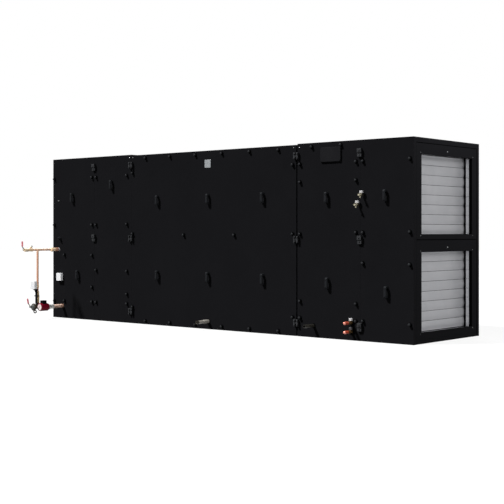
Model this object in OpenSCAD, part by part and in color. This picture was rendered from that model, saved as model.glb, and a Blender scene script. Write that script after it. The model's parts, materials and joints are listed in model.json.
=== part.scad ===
// Air handling unit: a hollow casing of insulated panels in three sections, two opposed-blade
// dampers in each end, and a pump and mixing valve set on the service side.
// X runs along the unit, the service side faces -Y, and the origin is the centre of the base.

/* [Casing] */
// Depth of the casing from the service side to the back
unit_w = 1300; // [1200:10:1500]
// Height of the upper airway, between the deck and the roof
upper_airway_h = 967; // [930:1:1020]
// Height of the lower airway, between the floor and the deck
lower_airway_h = 933; // [900:1:990]
// Length of the left section
left_l = 1480; // [1300:5:1800]
// Length of the middle section
middle_l = 2555; // [2300:5:3000]
// Length of the right section
right_l = 1455; // [1350:5:1800]
// Gap between two sections
section_gap = 5; // [3:0.5:10]
// Gap between two panels of one section
seam_gap = 3; // [2:0.5:6]
// Thickness of the insulated panels
panel_t = 50; // [40:1:60]
// How much lower the middle section stands
middle_drop = 10; // [4:1:30]
// Length of the first service panel, counted from the left end
first_panel_l = 805; // [700:5:900]
// Length of the last service panel, counted from the right end
last_panel_l = 634; // [560:1:700]
// Thickness of the end panels
end_panel_t = 40; // [30:1:50]

/* [Dampers] */
// Clear width of each duct opening
duct_w = 1000; // [800:10:1080]
// Height of the upper opening above the deck
upper_duct_rise = 55; // [48:1:70]
// Distance of the upper opening from the roof panel
upper_duct_head = 112; // [60:1:130]
// Height of the lower opening above the floor panel
lower_duct_rise = 60; // [48:1:70]
// Distance of the lower opening from the deck
lower_duct_head = 73; // [60:1:90]
// Gap between the lips of two closed blades
blade_gap = 6; // [5:0.5:10]
// Thickness of a blade at its pins
blade_t = 16; // [14:0.5:24]
// Thickness of a blade at its lips
lip_t = 4; // [3:0.5:6]
// Side gap between a blade and the damper frame
blade_side_gap = 5; // [5:0.5:12]
// Extra room above the top blade and under the bottom blade
blade_end_room = 3; // [3:0.5:10]
// Diameter of the blade pins
pin_d = 12; // [8:0.5:13]
// Length of each pin inside the frame
pin_seat = 30; // [20:1:36]
// Diametral running clearance of pins and stems
run_fit = 0.15; // [0.05:0.01:0.2]
// Width of the damper frame's rails
rail_w = 40; // [38:0.5:42]
// Depth of the damper frame
damper_depth = 120; // [115:1:160]
// Depth of the blade pins behind the face of the end panel
pivot_depth = 102; // [98:1:106]

/* [Panel fittings] */
// Diameter of the fixing knobs
knob_d = 30; // [20:1:40]
// Height of the fixing knobs
knob_h = 24; // [15:1:35]
// Height of the bow handles
handle_h = 118; // [100:1:140]
// Width of the bow handles
handle_w = 28; // [20:1:36]
// How far the bow handles stand out
handle_proud = 40; // [34:1:60]
// Thickness of a handle's grip
grip_t = 13; // [9:0.5:16]
// Height of a handle's foot
handle_foot = 22; // [16:1:30]
// Width of the clamps over the panel seams
clamp_w = 50; // [40:1:70]
// Height of the clamps over the panel seams
clamp_h = 85; // [60:1:100]
// How far the clamps stand out
clamp_t = 30; // [20:1:40]
// Width of the brackets over the section joints
bracket_w = 60; // [54:1:64]
// Height of the brackets over the section joints
bracket_h = 76; // [60:1:80]
// Width of a bracket's upright lug
lug_w = 22; // [16:1:26]
// How far a bracket's lugs stand out
bracket_t = 26; // [18:1:36]
// Width of the control cover
cover_w = 270; // [220:5:320]
// Height of the control cover
cover_h = 160; // [120:5:180]
// How far the control cover stands out
cover_t = 16; // [12:1:40]
// Width of the junction box
box_w = 88; // [80:1:120]
// Height of the junction box
box_h = 98; // [80:1:120]
// How far the junction box stands out
box_t = 38; // [30:1:60]

/* [Drains and cooling coil] */
// Diameter of the middle section's drain pipe
middle_drain_d = 36; // [30:1:44]
// Length of the middle section's drain pipe
middle_drain_l = 200; // [150:5:240]
// Diameter of the right section's drain pipe
right_drain_d = 35; // [30:1:44]
// Length of the right section's drain pipe
right_drain_l = 165; // [120:5:220]
// Wall of the drain pipes
drain_wall = 3; // [2:0.5:5]
// Diameter of the cooling coil's pipe ends
stub_d = 41; // [34:1:54]
// Length of the cooling coil's pipe ends
stub_l = 140; // [110:5:200]

/* [Pump and mixing valve] */
// Place of the valve line, counted from the left end
line_x = 118; // [112:1:119]
// Place of the pump, counted from the left end
pump_x = 194; // [194:1:215]
// Height of the return line
return_z = 882; // [820:1:930]
// Height of the flow line and the pump
flow_z = 155; // [130:1:180]
// Diameter of the copper pipes
pipe_d = 28; // [22:1:30]
// Diameter of the pump motor
motor_d = 100; // [80:1:102]
// Length of the pump motor
motor_l = 126; // [110:1:128]
// Distance of the mixing valve and bypass from the panels
bypass_out = 350; // [340:1:360]
// Length of a valve lever from its stem to its tip
lever_l = 108; // [80:1:130]
// Thickness of a valve lever
lever_t = 5; // [4:0.5:8]
// How far a lever's grip stands out from its hub
crank_out = 24; // [12:1:26]
// Diameter of a lever's stem
stem_d = 10; // [8:0.5:14]
// Lean of the flow valve's lever, away from the panels
flow_lever_lean = 12; // [0:1:30]

/* [Hidden] */
$fn = 48;
blade_count = 8;
unit_l = left_l + middle_l + right_l + 2 * section_gap;
deck_z = 2 * panel_t + lower_airway_h;
roof_z = deck_z + upper_airway_h;
unit_h = roof_z + panel_t;
inner_w = unit_w - 2 * panel_t;
// Overshoot of a cut past the face that it opens
over = 1;

// Start, length and drop of each section, from the left end
section_x = [0, left_l + section_gap, left_l + middle_l + 2 * section_gap];
section_l = [left_l, middle_l, right_l];
section_drop = [0, middle_drop, 0];

// Start and length of each service panel, and the section that it closes
panel_x = [0, first_panel_l + seam_gap, section_x[1], section_x[2], unit_l - last_panel_l];
panel_end = [first_panel_l, left_l, section_x[1] + middle_l, panel_x[4] - seam_gap, unit_l];
panel_section = [0, 0, 1, 2, 2];
function panel_mid(i) = (panel_x[i] + panel_end[i]) / 2;
function panel_top(i) = unit_h - section_drop[panel_section[i]];

// Middles of the seams and section joints
first_seam_x = first_panel_l + seam_gap / 2;
last_seam_x = panel_x[4] - seam_gap / 2;
first_joint_x = left_l + section_gap / 2;
last_joint_x = section_x[2] - section_gap / 2;

// Duct openings: the height of the lower edge, and the clear height
upper_duct = [deck_z + upper_duct_rise, upper_airway_h - upper_duct_rise - upper_duct_head];
lower_duct = [panel_t + lower_duct_rise, lower_airway_h - lower_duct_rise - lower_duct_head];
pivot_x = unit_l / 2 - pivot_depth;
blade_l = duct_w - 2 * blade_side_gap;
function blade_pitch(duct) = duct[1] / blade_count;
function blade_z(duct, i) = duct[0] + (i - 0.5) * blade_pitch(duct);

// Knobs: insets of the two columns on each panel, and the heights in each column
knob_inset = [[33, 38], [37, 73], [24, 50], [45, 48], [34, 40]];
knob_rows = [
    [[215, 1200, unit_h - 255], [230, 415, 815, 1200, unit_h - 255]],
    [[228, 630, 1200, unit_h - 255], [235, 350, 630, 1205, unit_h - 250]],
    [[198, 1088, unit_h - 225], [198, 1088, unit_h - 220]],
    [[198, 375, 1088, 1640, unit_h - 220], [198, 377, 1105, 1640, unit_h - 220]],
    [[204, 793, 1105, unit_h - 220], [198, 790, 1112, unit_h - 215]]
];
// Extra knobs on the first panel, around the pump
pump_knob_x = 232;
pump_knob_rows = [222, 815];
// Edge rows on the middle panel, evenly spaced about its middle
edge_knob_step = 412;
edge_knob_count = 6;
edge_knob_inset = 42;
centre_knob_reach = 392;
centre_knob_z = 1075;
cover_knob_x = 200;
knob_rim = 4;
// Cable gland on the first panel
gland_x = 145;
gland_z = 1025;
gland_d = 44;
gland_h = 40;

// Handles: distance from the middle of the panel, and height
handle_places = [
    [[-12, 1545], [92, 560]],
    [[-13, 1690]],
    [[-824, 1485], [-6, 1485], [810, 1485], [-824, 593], [-6, 593], [810, 593]],
    [[-12, 1468], [0, 577]],
    [[-12, 1478], [2, 510]]
];
handle_round = 16;
gap_round = 8;

// Clamps and brackets: heights on each seam
low_row = 142;
high_row = unit_h - 130;
first_seam_rows = [deck_z + 2, high_row];
last_seam_rows = [low_row, deck_z - 3, high_row];
joint_rows = [low_row, deck_z - 3, high_row];
clamp_low_t = clamp_t * 0.7;
bar_h = 20;
bar_inset = 6;

// Control cover and junction box: from the left edge of the panel, and height of the middle
cover_x = 450;
cover_inset = 54;
cover_z = panel_top(3) - cover_inset - cover_h / 2;
cover_round = 12;
cover_flange_t = 4;
cover_lip = 5;
box_x = 150;
box_z = 528;
box_round = 8;
box_base_t = 24;
box_groove = 3;
box_groove_t = 2;

// Drains and cooling coil, measured from the middle of the middle panel and the last seam
middle_drain_x = -6;
middle_drain_z = 88;
drain_socket_d = middle_drain_d + 10;
drain_socket_l = 80;
right_drain_x = 222;
right_drain_z = 125;
stub_x = -106;
stub_rows = [90, 182];
stub_rim = 5;
stub_bead_d = stub_d + 8;
stub_bead_l = 34;
// Cocks: distance from the last seam, and height of the body
cock_places = [[30, 1487], [-22, 1386]];
cock_d = 22;
cock_l = 76;
spout_out = 48;
spout_d = 14;
spout_l = 29;
cap_out = 26;
cap_stem_d = 11;
cap_gap_l = 17;
cap_w = 36;
cap_d = 24;
cap_round = 11;
cap_h = 16;
// Vent caps over the two coil pipe ends
vent_d = 12;
vent_out = 18;
vent_top = stub_bead_d / 2 + 4;
vent_cap_h = 18;

// Return line, with the distances from the panels at which each fitting ends
return_stub_end = 20;
union_end = 138;
tee_half = 32;
tee_d = pipe_d + 8;
balance_start = 428;
balance_end = 508;
return_end = 556;
union_d = pipe_d + 18;
union_nut_d = pipe_d + 28;
union_nut_l = 34;
// Balancing valve: its branch leans back towards the panels
branch_lean = 38;
branch_l = 46;
branch_cap_l = 22;
branch_start = 56;
balance_d = pipe_d + 14;
branch_d = balance_d * 0.7;
branch_cap_d = balance_d * 0.8;
// Return ball valve
valve_bore = pipe_d - 4;
valve_bore_l = 24;
return_valve_d = pipe_d + 20;
return_stem_out = 534;
bonnet_d = 22;
bonnet_l = 16;
stem_seat = 18;
stem_end_gap = 1;
// Levers: a hub, a crank from a flat bar and a dipped grip
lever_gap = 7;
lever_w = 16;
hub_d = 26;
crank_low = 14;
crank_high = 42;
lever_grip_w = 20;
lever_grip_t = 9;
lever_grip_round = 7;

// Bypass: heights at which each piece ends
bypass_union_low = 398;
bypass_union_high = 440;
bypass_union_d = pipe_d + 8;
bypass_nut_d = pipe_d + 14;
mixing_top = 352;
// Mixing valve, the yoke that stands to the right of its axis, and the actuator
mixing_d = 48;
mixing_neck_d = pipe_d + 14;
mixing_half = 30;
mixing_body_top = 290;
yoke_x = line_x + 20;
yoke_w = 30;
yoke_t = 12;
yoke_room = 1;
yoke_post_out = bypass_out + 26;
yoke_post_t = 16;
yoke_low = 200;
yoke_shelf_w = 50;
yoke_shelf_inset = 16;
actuator_w = 81;
actuator_depth = 40;
actuator_h = 104;
actuator_out = bypass_out + 61;
actuator_low = 383;
actuator_round = 8;
// Pump
coil_stub_d = 44;
coil_stub_end = 158;
pump_union_end = 204;
pump_union_d = 58;
volute_end = 254;
volute_d = motor_d * 0.68;
neck_d = pipe_d + 12;
discharge_start = 272;
terminal_l = 62;
terminal_w = 52;
terminal_h = 34;
terminal_inset = 32;
seat_gap = 0.4;
motor_round = 14;
// Flow ball valve
flow_valve_d = 92;
flow_collar_d = 48;
flow_collar_l = 18;
flow_valve_end = 440;
flow_stem_out = 413;
// Pull ring on a lug under the flow valve's inner collar
pull_ring_d = 38;
pull_ring_wire = 9;
pull_ring_turn = 25;
pull_ring_drop = 58;
pull_lug_d = 12;

// Colours of the materials
casing_black = "#1b1c1f";
fitting_black = "#141416";
alloy_grey = "#9b9c9f";
copper_red = "#b5693f";
brass_gold = "#b08a45";
iron_grey = "#4b4d50";
signal_red = "#b3222a";
cap_white = "#e9e9e6";
pvc_beige = "#c9c3b2";

// A place on the service side: from the left end, in front of the panels, and height
module service(x, out, z) {
    translate([x - unit_l / 2, -unit_w / 2 - out, z]) children();
}

// Turns a piece that stands on its base so that it points out of the service side
module outwards() {
    rotate([90, 0, 0]) children();
}

// Turns a piece that stands on its base so that it points to the left end
module leftwards() {
    rotate([0, -90, 0]) children();
}

// One slab of the casing, from the left end
module slab(x, length, y, depth, z, height) {
    translate([x - unit_l / 2, y, z]) cube([length, depth, height]);
}

// A flat outline with four round corners, about its middle
module round_rect(w, h, r) {
    square([w - 2 * r, h], center = true);
    square([w, h - 2 * r], center = true);
    for (sx = [-1, 1], sy = [-1, 1]) {
        translate([sx * (w / 2 - r), sy * (h / 2 - r)]) circle(r);
    }
}

module floor_panels() {
    color(casing_black) for (i = [0 : 2]) {
        left_in = i == 0 ? end_panel_t : 0;
        right_in = i == 2 ? end_panel_t : 0;
        slab(section_x[i] + left_in, section_l[i] - left_in - right_in, -inner_w / 2, inner_w, 0, panel_t);
    }
}

module roof_panels() {
    color(casing_black) for (i = [0 : 2]) {
        slab(section_x[i], section_l[i], -inner_w / 2, inner_w, roof_z - section_drop[i], panel_t);
    }
}

module back_panels() {
    color(casing_black) for (i = [0 : 4]) {
        slab(panel_x[i], panel_end[i] - panel_x[i], inner_w / 2, panel_t, 0, panel_top(i));
    }
}

module deck_panels() {
    color(casing_black) for (i = [0 : 2]) {
        left_in = i == 0 ? end_panel_t : 0;
        right_in = i == 2 ? end_panel_t : 0;
        slab(section_x[i] + left_in, section_l[i] - left_in - right_in, -inner_w / 2, inner_w,
            deck_z - panel_t, panel_t);
    }
}

module front_panel(i) {
    color(casing_black) slab(panel_x[i - 1], panel_end[i - 1] - panel_x[i - 1], -unit_w / 2, panel_t,
        0, panel_top(i - 1));
}

// An end panel between two heights, with its duct opening
module end_panel(low, high, duct) {
    color(casing_black) difference() {
        translate([unit_l / 2 - end_panel_t, -inner_w / 2, low]) cube([end_panel_t, inner_w, high - low]);
        translate([unit_l / 2 - end_panel_t - over, -duct_w / 2, duct[0]])
            cube([end_panel_t + 2 * over, duct_w, duct[1]]);
    }
}

module right_end_upper_panel() {
    end_panel(deck_z + seam_gap / 2, roof_z, upper_duct);
}

module right_end_lower_panel() {
    end_panel(0, deck_z - seam_gap / 2, lower_duct);
}

module left_end_upper_panel() {
    mirror([1, 0, 0]) right_end_upper_panel();
}

module left_end_lower_panel() {
    mirror([1, 0, 0]) right_end_lower_panel();
}

// The frame behind an opening, bored for the pins of its blades
module damper_frame(duct) {
    back_x = unit_l / 2 - end_panel_t - damper_depth;
    inner_h = duct[1] + 2 * blade_end_room;
    low = duct[0] - blade_end_room;
    color(alloy_grey) difference() {
        translate([back_x, -duct_w / 2 - rail_w, low - rail_w])
            cube([damper_depth, duct_w + 2 * rail_w, inner_h + 2 * rail_w]);
        translate([back_x - over, -duct_w / 2, low]) cube([damper_depth + 2 * over, duct_w, inner_h]);
        for (i = [1 : blade_count]) {
            translate([pivot_x, 0, blade_z(duct, i)]) rotate([90, 0, 0])
                cylinder(d = pin_d + run_fit, h = duct_w + 2 * rail_w + 2 * over, center = true);
        }
    }
}

module upper_damper_frame() {
    damper_frame(upper_duct);
}

module lower_damper_frame() {
    damper_frame(lower_duct);
}

module left_damper_frames() {
    mirror([1, 0, 0]) {
        upper_damper_frame();
        lower_damper_frame();
    }
}

// The aerofoil section of a blade: two wide arcs that meet at blunt lips
module blade_section(chord) {
    bulge = (blade_t - lip_t) / 2;
    r = (pow(chord / 2, 2) + pow(bulge, 2)) / (2 * bulge);
    intersection() {
        translate([r - blade_t / 2, 0]) circle(r, $fn = 180);
        translate([blade_t / 2 - r, 0]) circle(r, $fn = 180);
        square([blade_t + 2 * over, chord], center = true);
    }
}

// Blade number i of a damper, counted from the bottom, with its two pins
module damper_blade(duct, i) {
    color(alloy_grey) translate([pivot_x, 0, blade_z(duct, i)]) rotate([90, 0, 0]) {
        linear_extrude(blade_l, center = true) blade_section(blade_pitch(duct) - blade_gap);
        cylinder(d = pin_d, h = duct_w + 2 * pin_seat, center = true);
    }
}

module left_damper_blades() {
    mirror([1, 0, 0]) for (i = [1 : blade_count]) {
        damper_blade(upper_duct, i);
        damper_blade(lower_duct, i);
    }
}

// A fixing knob with a bevelled rim
module knob(d, h) {
    outwards() rotate_extrude() polygon([
        [0, 0], [d / 2 - knob_rim / 2, 0], [d / 2, knob_rim], [d / 2, h - knob_rim],
        [d / 2 - knob_rim, h], [0, h]
    ]);
}

module panel_knobs() {
    color(fitting_black) {
        for (i = [0 : 4]) {
            columns = [panel_x[i] + knob_inset[i][0], panel_end[i] - knob_inset[i][1]];
            for (side = [0, 1], z = knob_rows[i][side]) {
                service(columns[side], 0, z) knob(knob_d, knob_h);
            }
        }
        for (z = pump_knob_rows) {
            service(pump_knob_x, 0, z) knob(knob_d, knob_h);
        }
        for (k = [0 : edge_knob_count - 1], z = [edge_knob_inset, panel_top(2) - edge_knob_inset]) {
            service(panel_mid(2) + (k - (edge_knob_count - 1) / 2) * edge_knob_step, 0, z)
                knob(knob_d, knob_h);
        }
        for (side = [-1, 1]) {
            service(panel_mid(2) + side * centre_knob_reach, 0, centre_knob_z) knob(knob_d, knob_h);
        }
        service(panel_x[3] + cover_knob_x, 0, panel_top(3) - edge_knob_inset) knob(knob_d, knob_h);
        service(gland_x, 0, gland_z) knob(gland_d, gland_h);
    }
}

// A bow handle: two feet and a grip with round corners
module handle() {
    rotate([0, 0, -90]) rotate([90, 0, 0]) linear_extrude(handle_w, center = true) difference() {
        union() {
            translate([0, -handle_h / 2]) square([handle_proud - handle_round, handle_h]);
            translate([0, handle_round - handle_h / 2]) square([handle_proud, handle_h - 2 * handle_round]);
            for (side = [-1, 1]) {
                translate([handle_proud - handle_round, side * (handle_h / 2 - handle_round)])
                    circle(handle_round);
            }
        }
        round_rect(2 * (handle_proud - grip_t), handle_h - 2 * handle_foot, gap_round);
    }
}

module panel_handles() {
    color(fitting_black) for (i = [0 : 4], place = handle_places[i]) {
        service(panel_mid(i) + place[0], 0, place[1]) handle();
    }
}

// A clamp block over a seam, with a raised upper half
module seam_clamp() {
    translate([-clamp_w / 2, -clamp_low_t, -clamp_h / 2]) cube([clamp_w, clamp_low_t, clamp_h]);
    translate([-clamp_w / 2, -clamp_t, 0]) cube([clamp_w, clamp_t, clamp_h / 2]);
}

module seam_clamps() {
    color(fitting_black) {
        for (z = first_seam_rows) {
            service(first_seam_x, 0, z) seam_clamp();
        }
        for (z = last_seam_rows) {
            service(last_seam_x, 0, z) seam_clamp();
        }
    }
}

// A bracket over a section joint: two upright lugs drawn together by a bar
module section_bracket() {
    for (side = [-1, 1]) {
        translate([side * (bracket_w - lug_w) / 2 - lug_w / 2, -bracket_t, -bracket_h / 2])
            cube([lug_w, bracket_t, bracket_h]);
    }
    translate([-bracket_w / 2, bar_inset - bracket_t, -bar_h / 2])
        cube([bracket_w, bracket_t - bar_inset, bar_h]);
}

module section_brackets() {
    color(fitting_black) for (x = [first_joint_x, last_joint_x], z = joint_rows) {
        service(x, 0, z) section_bracket();
    }
}

// Control cover: a raised lid on a flange
module control_cover() {
    color(casing_black) service(panel_x[3] + cover_x, 0, cover_z) outwards() {
        linear_extrude(cover_flange_t) round_rect(cover_w, cover_h, cover_round);
        linear_extrude(cover_t) round_rect(cover_w - 2 * cover_lip, cover_h - 2 * cover_lip, cover_round);
    }
}

// Junction box: a base and a lid with a groove between them
module junction_box() {
    lid_low = box_base_t + box_groove_t;
    color(cap_white) service(box_x, 0, box_z) outwards() {
        linear_extrude(box_base_t) round_rect(box_w, box_h, box_round);
        linear_extrude(box_t) round_rect(box_w - 2 * box_groove, box_h - 2 * box_groove, box_round);
        translate([0, 0, lid_low]) linear_extrude(box_t - lid_low) round_rect(box_w, box_h, box_round);
    }
}

module middle_drain() {
    color(pvc_beige) service(panel_mid(2) + middle_drain_x, 0, middle_drain_z) outwards() difference() {
        union() {
            cylinder(d = middle_drain_d, h = middle_drain_l);
            cylinder(d = drain_socket_d, h = drain_socket_l);
        }
        translate([0, 0, drain_wall]) cylinder(d = middle_drain_d - 2 * drain_wall, h = middle_drain_l);
    }
}

module right_drain() {
    color(iron_grey) service(panel_x[3] + right_drain_x, 0, right_drain_z) outwards() difference() {
        cylinder(d = right_drain_d, h = right_drain_l);
        translate([0, 0, drain_wall]) cylinder(d = right_drain_d - 2 * drain_wall, h = right_drain_l);
    }
}

// The cooling coil's two pipe ends, closed by domed ends
module coil_pipe_ends() {
    color(copper_red) for (z = stub_rows) {
        service(last_seam_x + stub_x, 0, z) {
            outwards() rotate_extrude() polygon([
                [0, 0], [stub_bead_d / 2, 0], [stub_bead_d / 2, stub_bead_l], [stub_d / 2, stub_bead_l],
                [stub_d / 2, stub_l - stub_rim], [stub_d / 2 - stub_rim, stub_l], [0, stub_l]
            ]);
            translate([0, -vent_out, 0]) cylinder(d = vent_d, h = vent_top);
        }
    }
}

// Two brass cocks on the coil's headers, each with a spout that points down and a stem for its cap
module coil_cocks() {
    color(brass_gold) for (place = cock_places) {
        service(last_seam_x + place[0], 0, place[1]) {
            outwards() cylinder(d = cock_d, h = cock_l);
            translate([0, -spout_out, -spout_l]) cylinder(d = spout_d, h = spout_l);
            translate([0, -cap_out, 0]) cylinder(d = cap_stem_d, h = cock_d / 2 + cap_gap_l);
        }
    }
}

module cock_caps() {
    color(cap_white) {
        for (place = cock_places) {
            service(last_seam_x + place[0], cap_out, place[1] + cock_d / 2 + cap_gap_l)
                linear_extrude(cap_h) round_rect(cap_w, cap_d, cap_round);
        }
        for (z = stub_rows) {
            service(last_seam_x + stub_x, vent_out, z + vent_top)
                linear_extrude(vent_cap_h) round_rect(cap_w, cap_d, cap_round);
        }
    }
}

// Return line: a stub at the panel, then a pipe with the tee that the bypass hangs from
module return_pipe() {
    color(copper_red) service(line_x, 0, return_z) {
        outwards() cylinder(d = coil_stub_d, h = return_stub_end);
        translate([0, -union_end, 0]) outwards() cylinder(d = pipe_d, h = balance_start - union_end);
        translate([0, -bypass_out + tee_half, 0]) outwards() cylinder(d = tee_d, h = 2 * tee_half);
        translate([0, -bypass_out, -tee_half]) cylinder(d = tee_d, h = tee_half);
    }
}

// A union along its own axis: a sleeve with a nut at its far end
module pipe_union(length, sleeve_d, nut_d) {
    cylinder(d = sleeve_d, h = length);
    translate([0, 0, length - union_nut_l]) cylinder(d = nut_d, h = union_nut_l, $fn = 6);
}

module pipe_unions() {
    color(brass_gold) {
        service(line_x, return_stub_end, return_z) outwards()
            pipe_union(union_end - return_stub_end, union_d, union_nut_d);
        service(line_x, bypass_out, bypass_union_low)
            pipe_union(bypass_union_high - bypass_union_low, bypass_union_d, bypass_nut_d);
        service(pump_x, coil_stub_end, flow_z) outwards()
            cylinder(d = pump_union_d, h = pump_union_end - coil_stub_end, $fn = 8);
    }
}

module bypass_pipe() {
    color(copper_red) {
        service(line_x, bypass_out, bypass_union_high)
            cylinder(d = pipe_d, h = return_z - tee_half - bypass_union_high);
        service(line_x, bypass_out, mixing_top) cylinder(d = pipe_d, h = bypass_union_low - mixing_top);
    }
}

// Flow line: the coil's stub at the panel, and the pipe from the pump to the mixing valve
module flow_pipes() {
    color(copper_red) {
        service(pump_x, 0, flow_z) outwards() cylinder(d = coil_stub_d, h = coil_stub_end);
        service(line_x, discharge_start, flow_z) outwards()
            cylinder(d = pipe_d, h = bypass_out - mixing_half - discharge_start);
    }
}

// Balancing valve: a straight body with a leaning branch and its cap
module balancing_valve() {
    color(brass_gold) service(line_x, balance_start, return_z) {
        outwards() cylinder(d = balance_d, h = balance_end - balance_start);
        translate([0, -branch_start, 0]) rotate([-branch_lean, 0, 0]) {
            cylinder(d = branch_d, h = branch_l);
            translate([0, 0, branch_l]) cylinder(d = branch_cap_d, h = branch_cap_l);
        }
    }
}

// The blind hole in a bonnet for a lever's stem
module stem_bore(y, bonnet_top) {
    translate([0, y, 0]) leftwards() translate([0, 0, bonnet_top - stem_seat])
        cylinder(d = stem_d + run_fit, h = stem_seat + over);
}

// Return ball valve: bored at its outlet, with a bonnet on its left for the lever's stem
module return_ball_valve() {
    color(alloy_grey) service(line_x, balance_end, return_z) difference() {
        union() {
            outwards() cylinder(d = return_valve_d, h = return_end - balance_end);
            translate([0, balance_end - return_stem_out, 0]) leftwards()
                cylinder(d = bonnet_d, h = return_valve_d / 2 + bonnet_l);
        }
        stem_bore(balance_end - return_stem_out, return_valve_d / 2 + bonnet_l);
        translate([0, balance_end - return_end + valve_bore_l, 0]) outwards()
            cylinder(d = valve_bore, h = valve_bore_l + over);
    }
}

// A lever that stands up from its stem: the stem points back into the bonnet, the crank leads outwards
module valve_lever(stem_l) {
    rotate([0, 90, 0]) cylinder(d = stem_d, h = stem_l);
    translate([-lever_t, 0, 0]) rotate([0, 90, 0]) cylinder(d = hub_d, h = lever_t);
    rotate([90, 0, 0]) linear_extrude(lever_w, center = true) polygon([
        [0, 0], [0, crank_low], [-crank_out, crank_high], [-crank_out, lever_l - lever_t],
        [-crank_out - lever_t, lever_l - lever_t], [-crank_out - lever_t, crank_high],
        [-lever_t, crank_low], [-lever_t, 0]
    ]);
    translate([-crank_out - (lever_t + lever_grip_t) / 2, 0, (crank_high + lever_l) / 2]) rotate([0, 90, 0])
        linear_extrude(lever_grip_t) round_rect(lever_l - crank_high, lever_grip_w, lever_grip_round);
}

module return_lever() {
    color(signal_red) service(line_x - return_valve_d / 2 - bonnet_l - lever_gap, return_stem_out, return_z)
        valve_lever(lever_gap + stem_seat - stem_end_gap);
}

// Flow ball valve: a heavy round body between two collars, with a pull ring on a lug underneath
module flow_ball_valve() {
    start = bypass_out + mixing_half;
    color(iron_grey) service(line_x, start, flow_z) difference() {
        union() {
            outwards() cylinder(d = flow_collar_d, h = flow_valve_end - start);
            translate([0, -flow_collar_l, 0]) outwards()
                cylinder(d = flow_valve_d, h = flow_valve_end - start - 2 * flow_collar_l);
            translate([0, start - flow_stem_out, 0]) leftwards()
                cylinder(d = bonnet_d, h = flow_valve_d / 2 + bonnet_l);
            translate([0, -flow_collar_l / 2, -pull_ring_drop]) {
                translate([0, 0, pull_ring_d / 2]) cylinder(d = pull_lug_d, h = pull_ring_drop - pull_ring_d / 2);
                rotate([90, 0, pull_ring_turn]) rotate_extrude() translate([pull_ring_d / 2, 0])
                    circle(d = pull_ring_wire);
            }
        }
        stem_bore(start - flow_stem_out, flow_valve_d / 2 + bonnet_l);
        translate([0, start - flow_valve_end + valve_bore_l, 0]) outwards()
            cylinder(d = valve_bore, h = valve_bore_l + over);
    }
}

module flow_lever() {
    color(signal_red) service(line_x - flow_valve_d / 2 - bonnet_l - lever_gap, flow_stem_out, flow_z)
        rotate([flow_lever_lean, 0, 0]) valve_lever(lever_gap + stem_seat - stem_end_gap);
}

// Mixing valve: a cross port on the flow line under a neck for the bypass
module mixing_valve() {
    color(brass_gold) service(line_x, bypass_out, flow_z) {
        translate([0, mixing_half, 0]) outwards() cylinder(d = mixing_neck_d, h = 2 * mixing_half);
        translate([0, 0, -mixing_d / 2]) cylinder(d = mixing_d, h = mixing_body_top - flow_z + mixing_d / 2);
        cylinder(d = mixing_neck_d, h = mixing_top - flow_z);
    }
}

// Black yoke: a ring plate on the mixing valve, a post in front of it and a shelf for the actuator
module valve_yoke() {
    shelf_l = actuator_out + actuator_depth / 2 - yoke_shelf_inset - yoke_post_out;
    reach = yoke_post_out + yoke_post_t - bypass_out;
    color(fitting_black) {
        service(line_x, bypass_out, mixing_body_top) difference() {
            union() {
                cylinder(d = mixing_d, h = yoke_t);
                translate([-yoke_w / 2, -reach, 0]) cube([yoke_w + yoke_x - line_x, reach, yoke_t]);
            }
            translate([0, 0, -over]) cylinder(d = mixing_neck_d + yoke_room, h = yoke_t + 2 * over);
        }
        service(yoke_x - yoke_w / 2, yoke_post_out + yoke_post_t, yoke_low)
            cube([yoke_w, yoke_post_t, actuator_low - yoke_low]);
        service(yoke_x - yoke_shelf_w / 2, yoke_post_out + shelf_l, actuator_low - yoke_t)
            cube([yoke_shelf_w, shelf_l, yoke_t]);
    }
}

module valve_actuator() {
    color(cap_white) service(line_x, actuator_out, actuator_low) linear_extrude(actuator_h)
        round_rect(actuator_w, actuator_depth, actuator_round);
}

// Pump volute: a drum on the coil's stub with a neck that turns into the valve line
module pump_volute() {
    middle = (pump_union_end + volute_end) / 2;
    color(iron_grey) {
        service(pump_x, pump_union_end, flow_z) outwards()
            cylinder(d = volute_d, h = volute_end - pump_union_end);
        service(pump_x, middle, flow_z) leftwards() cylinder(d = neck_d, h = pump_x - line_x);
        service(line_x, middle - neck_d / 2, flow_z) outwards()
            cylinder(d = neck_d, h = discharge_start - middle + neck_d / 2);
    }
}

// Pump motor: a drum with a rounded outer end
module pump_motor() {
    r = motor_d / 2;
    color(signal_red) service(pump_x, volute_end, flow_z) outwards() rotate_extrude() union() {
        square([r - motor_round, motor_l]);
        square([r, motor_l - motor_round]);
        translate([r - motor_round, motor_l - motor_round]) intersection() {
            circle(motor_round);
            square(motor_round);
        }
    }
}

// Terminal box that rides on top of the motor
module pump_terminal_box() {
    color(fitting_black) service(pump_x, volute_end + terminal_inset, flow_z) difference() {
        translate([-terminal_w / 2, -terminal_l, motor_d / 4])
            cube([terminal_w, terminal_l, motor_d / 4 + terminal_h]);
        translate([0, over, 0]) outwards() cylinder(d = motor_d + seat_gap, h = terminal_l + 2 * over);
    }
}

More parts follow.
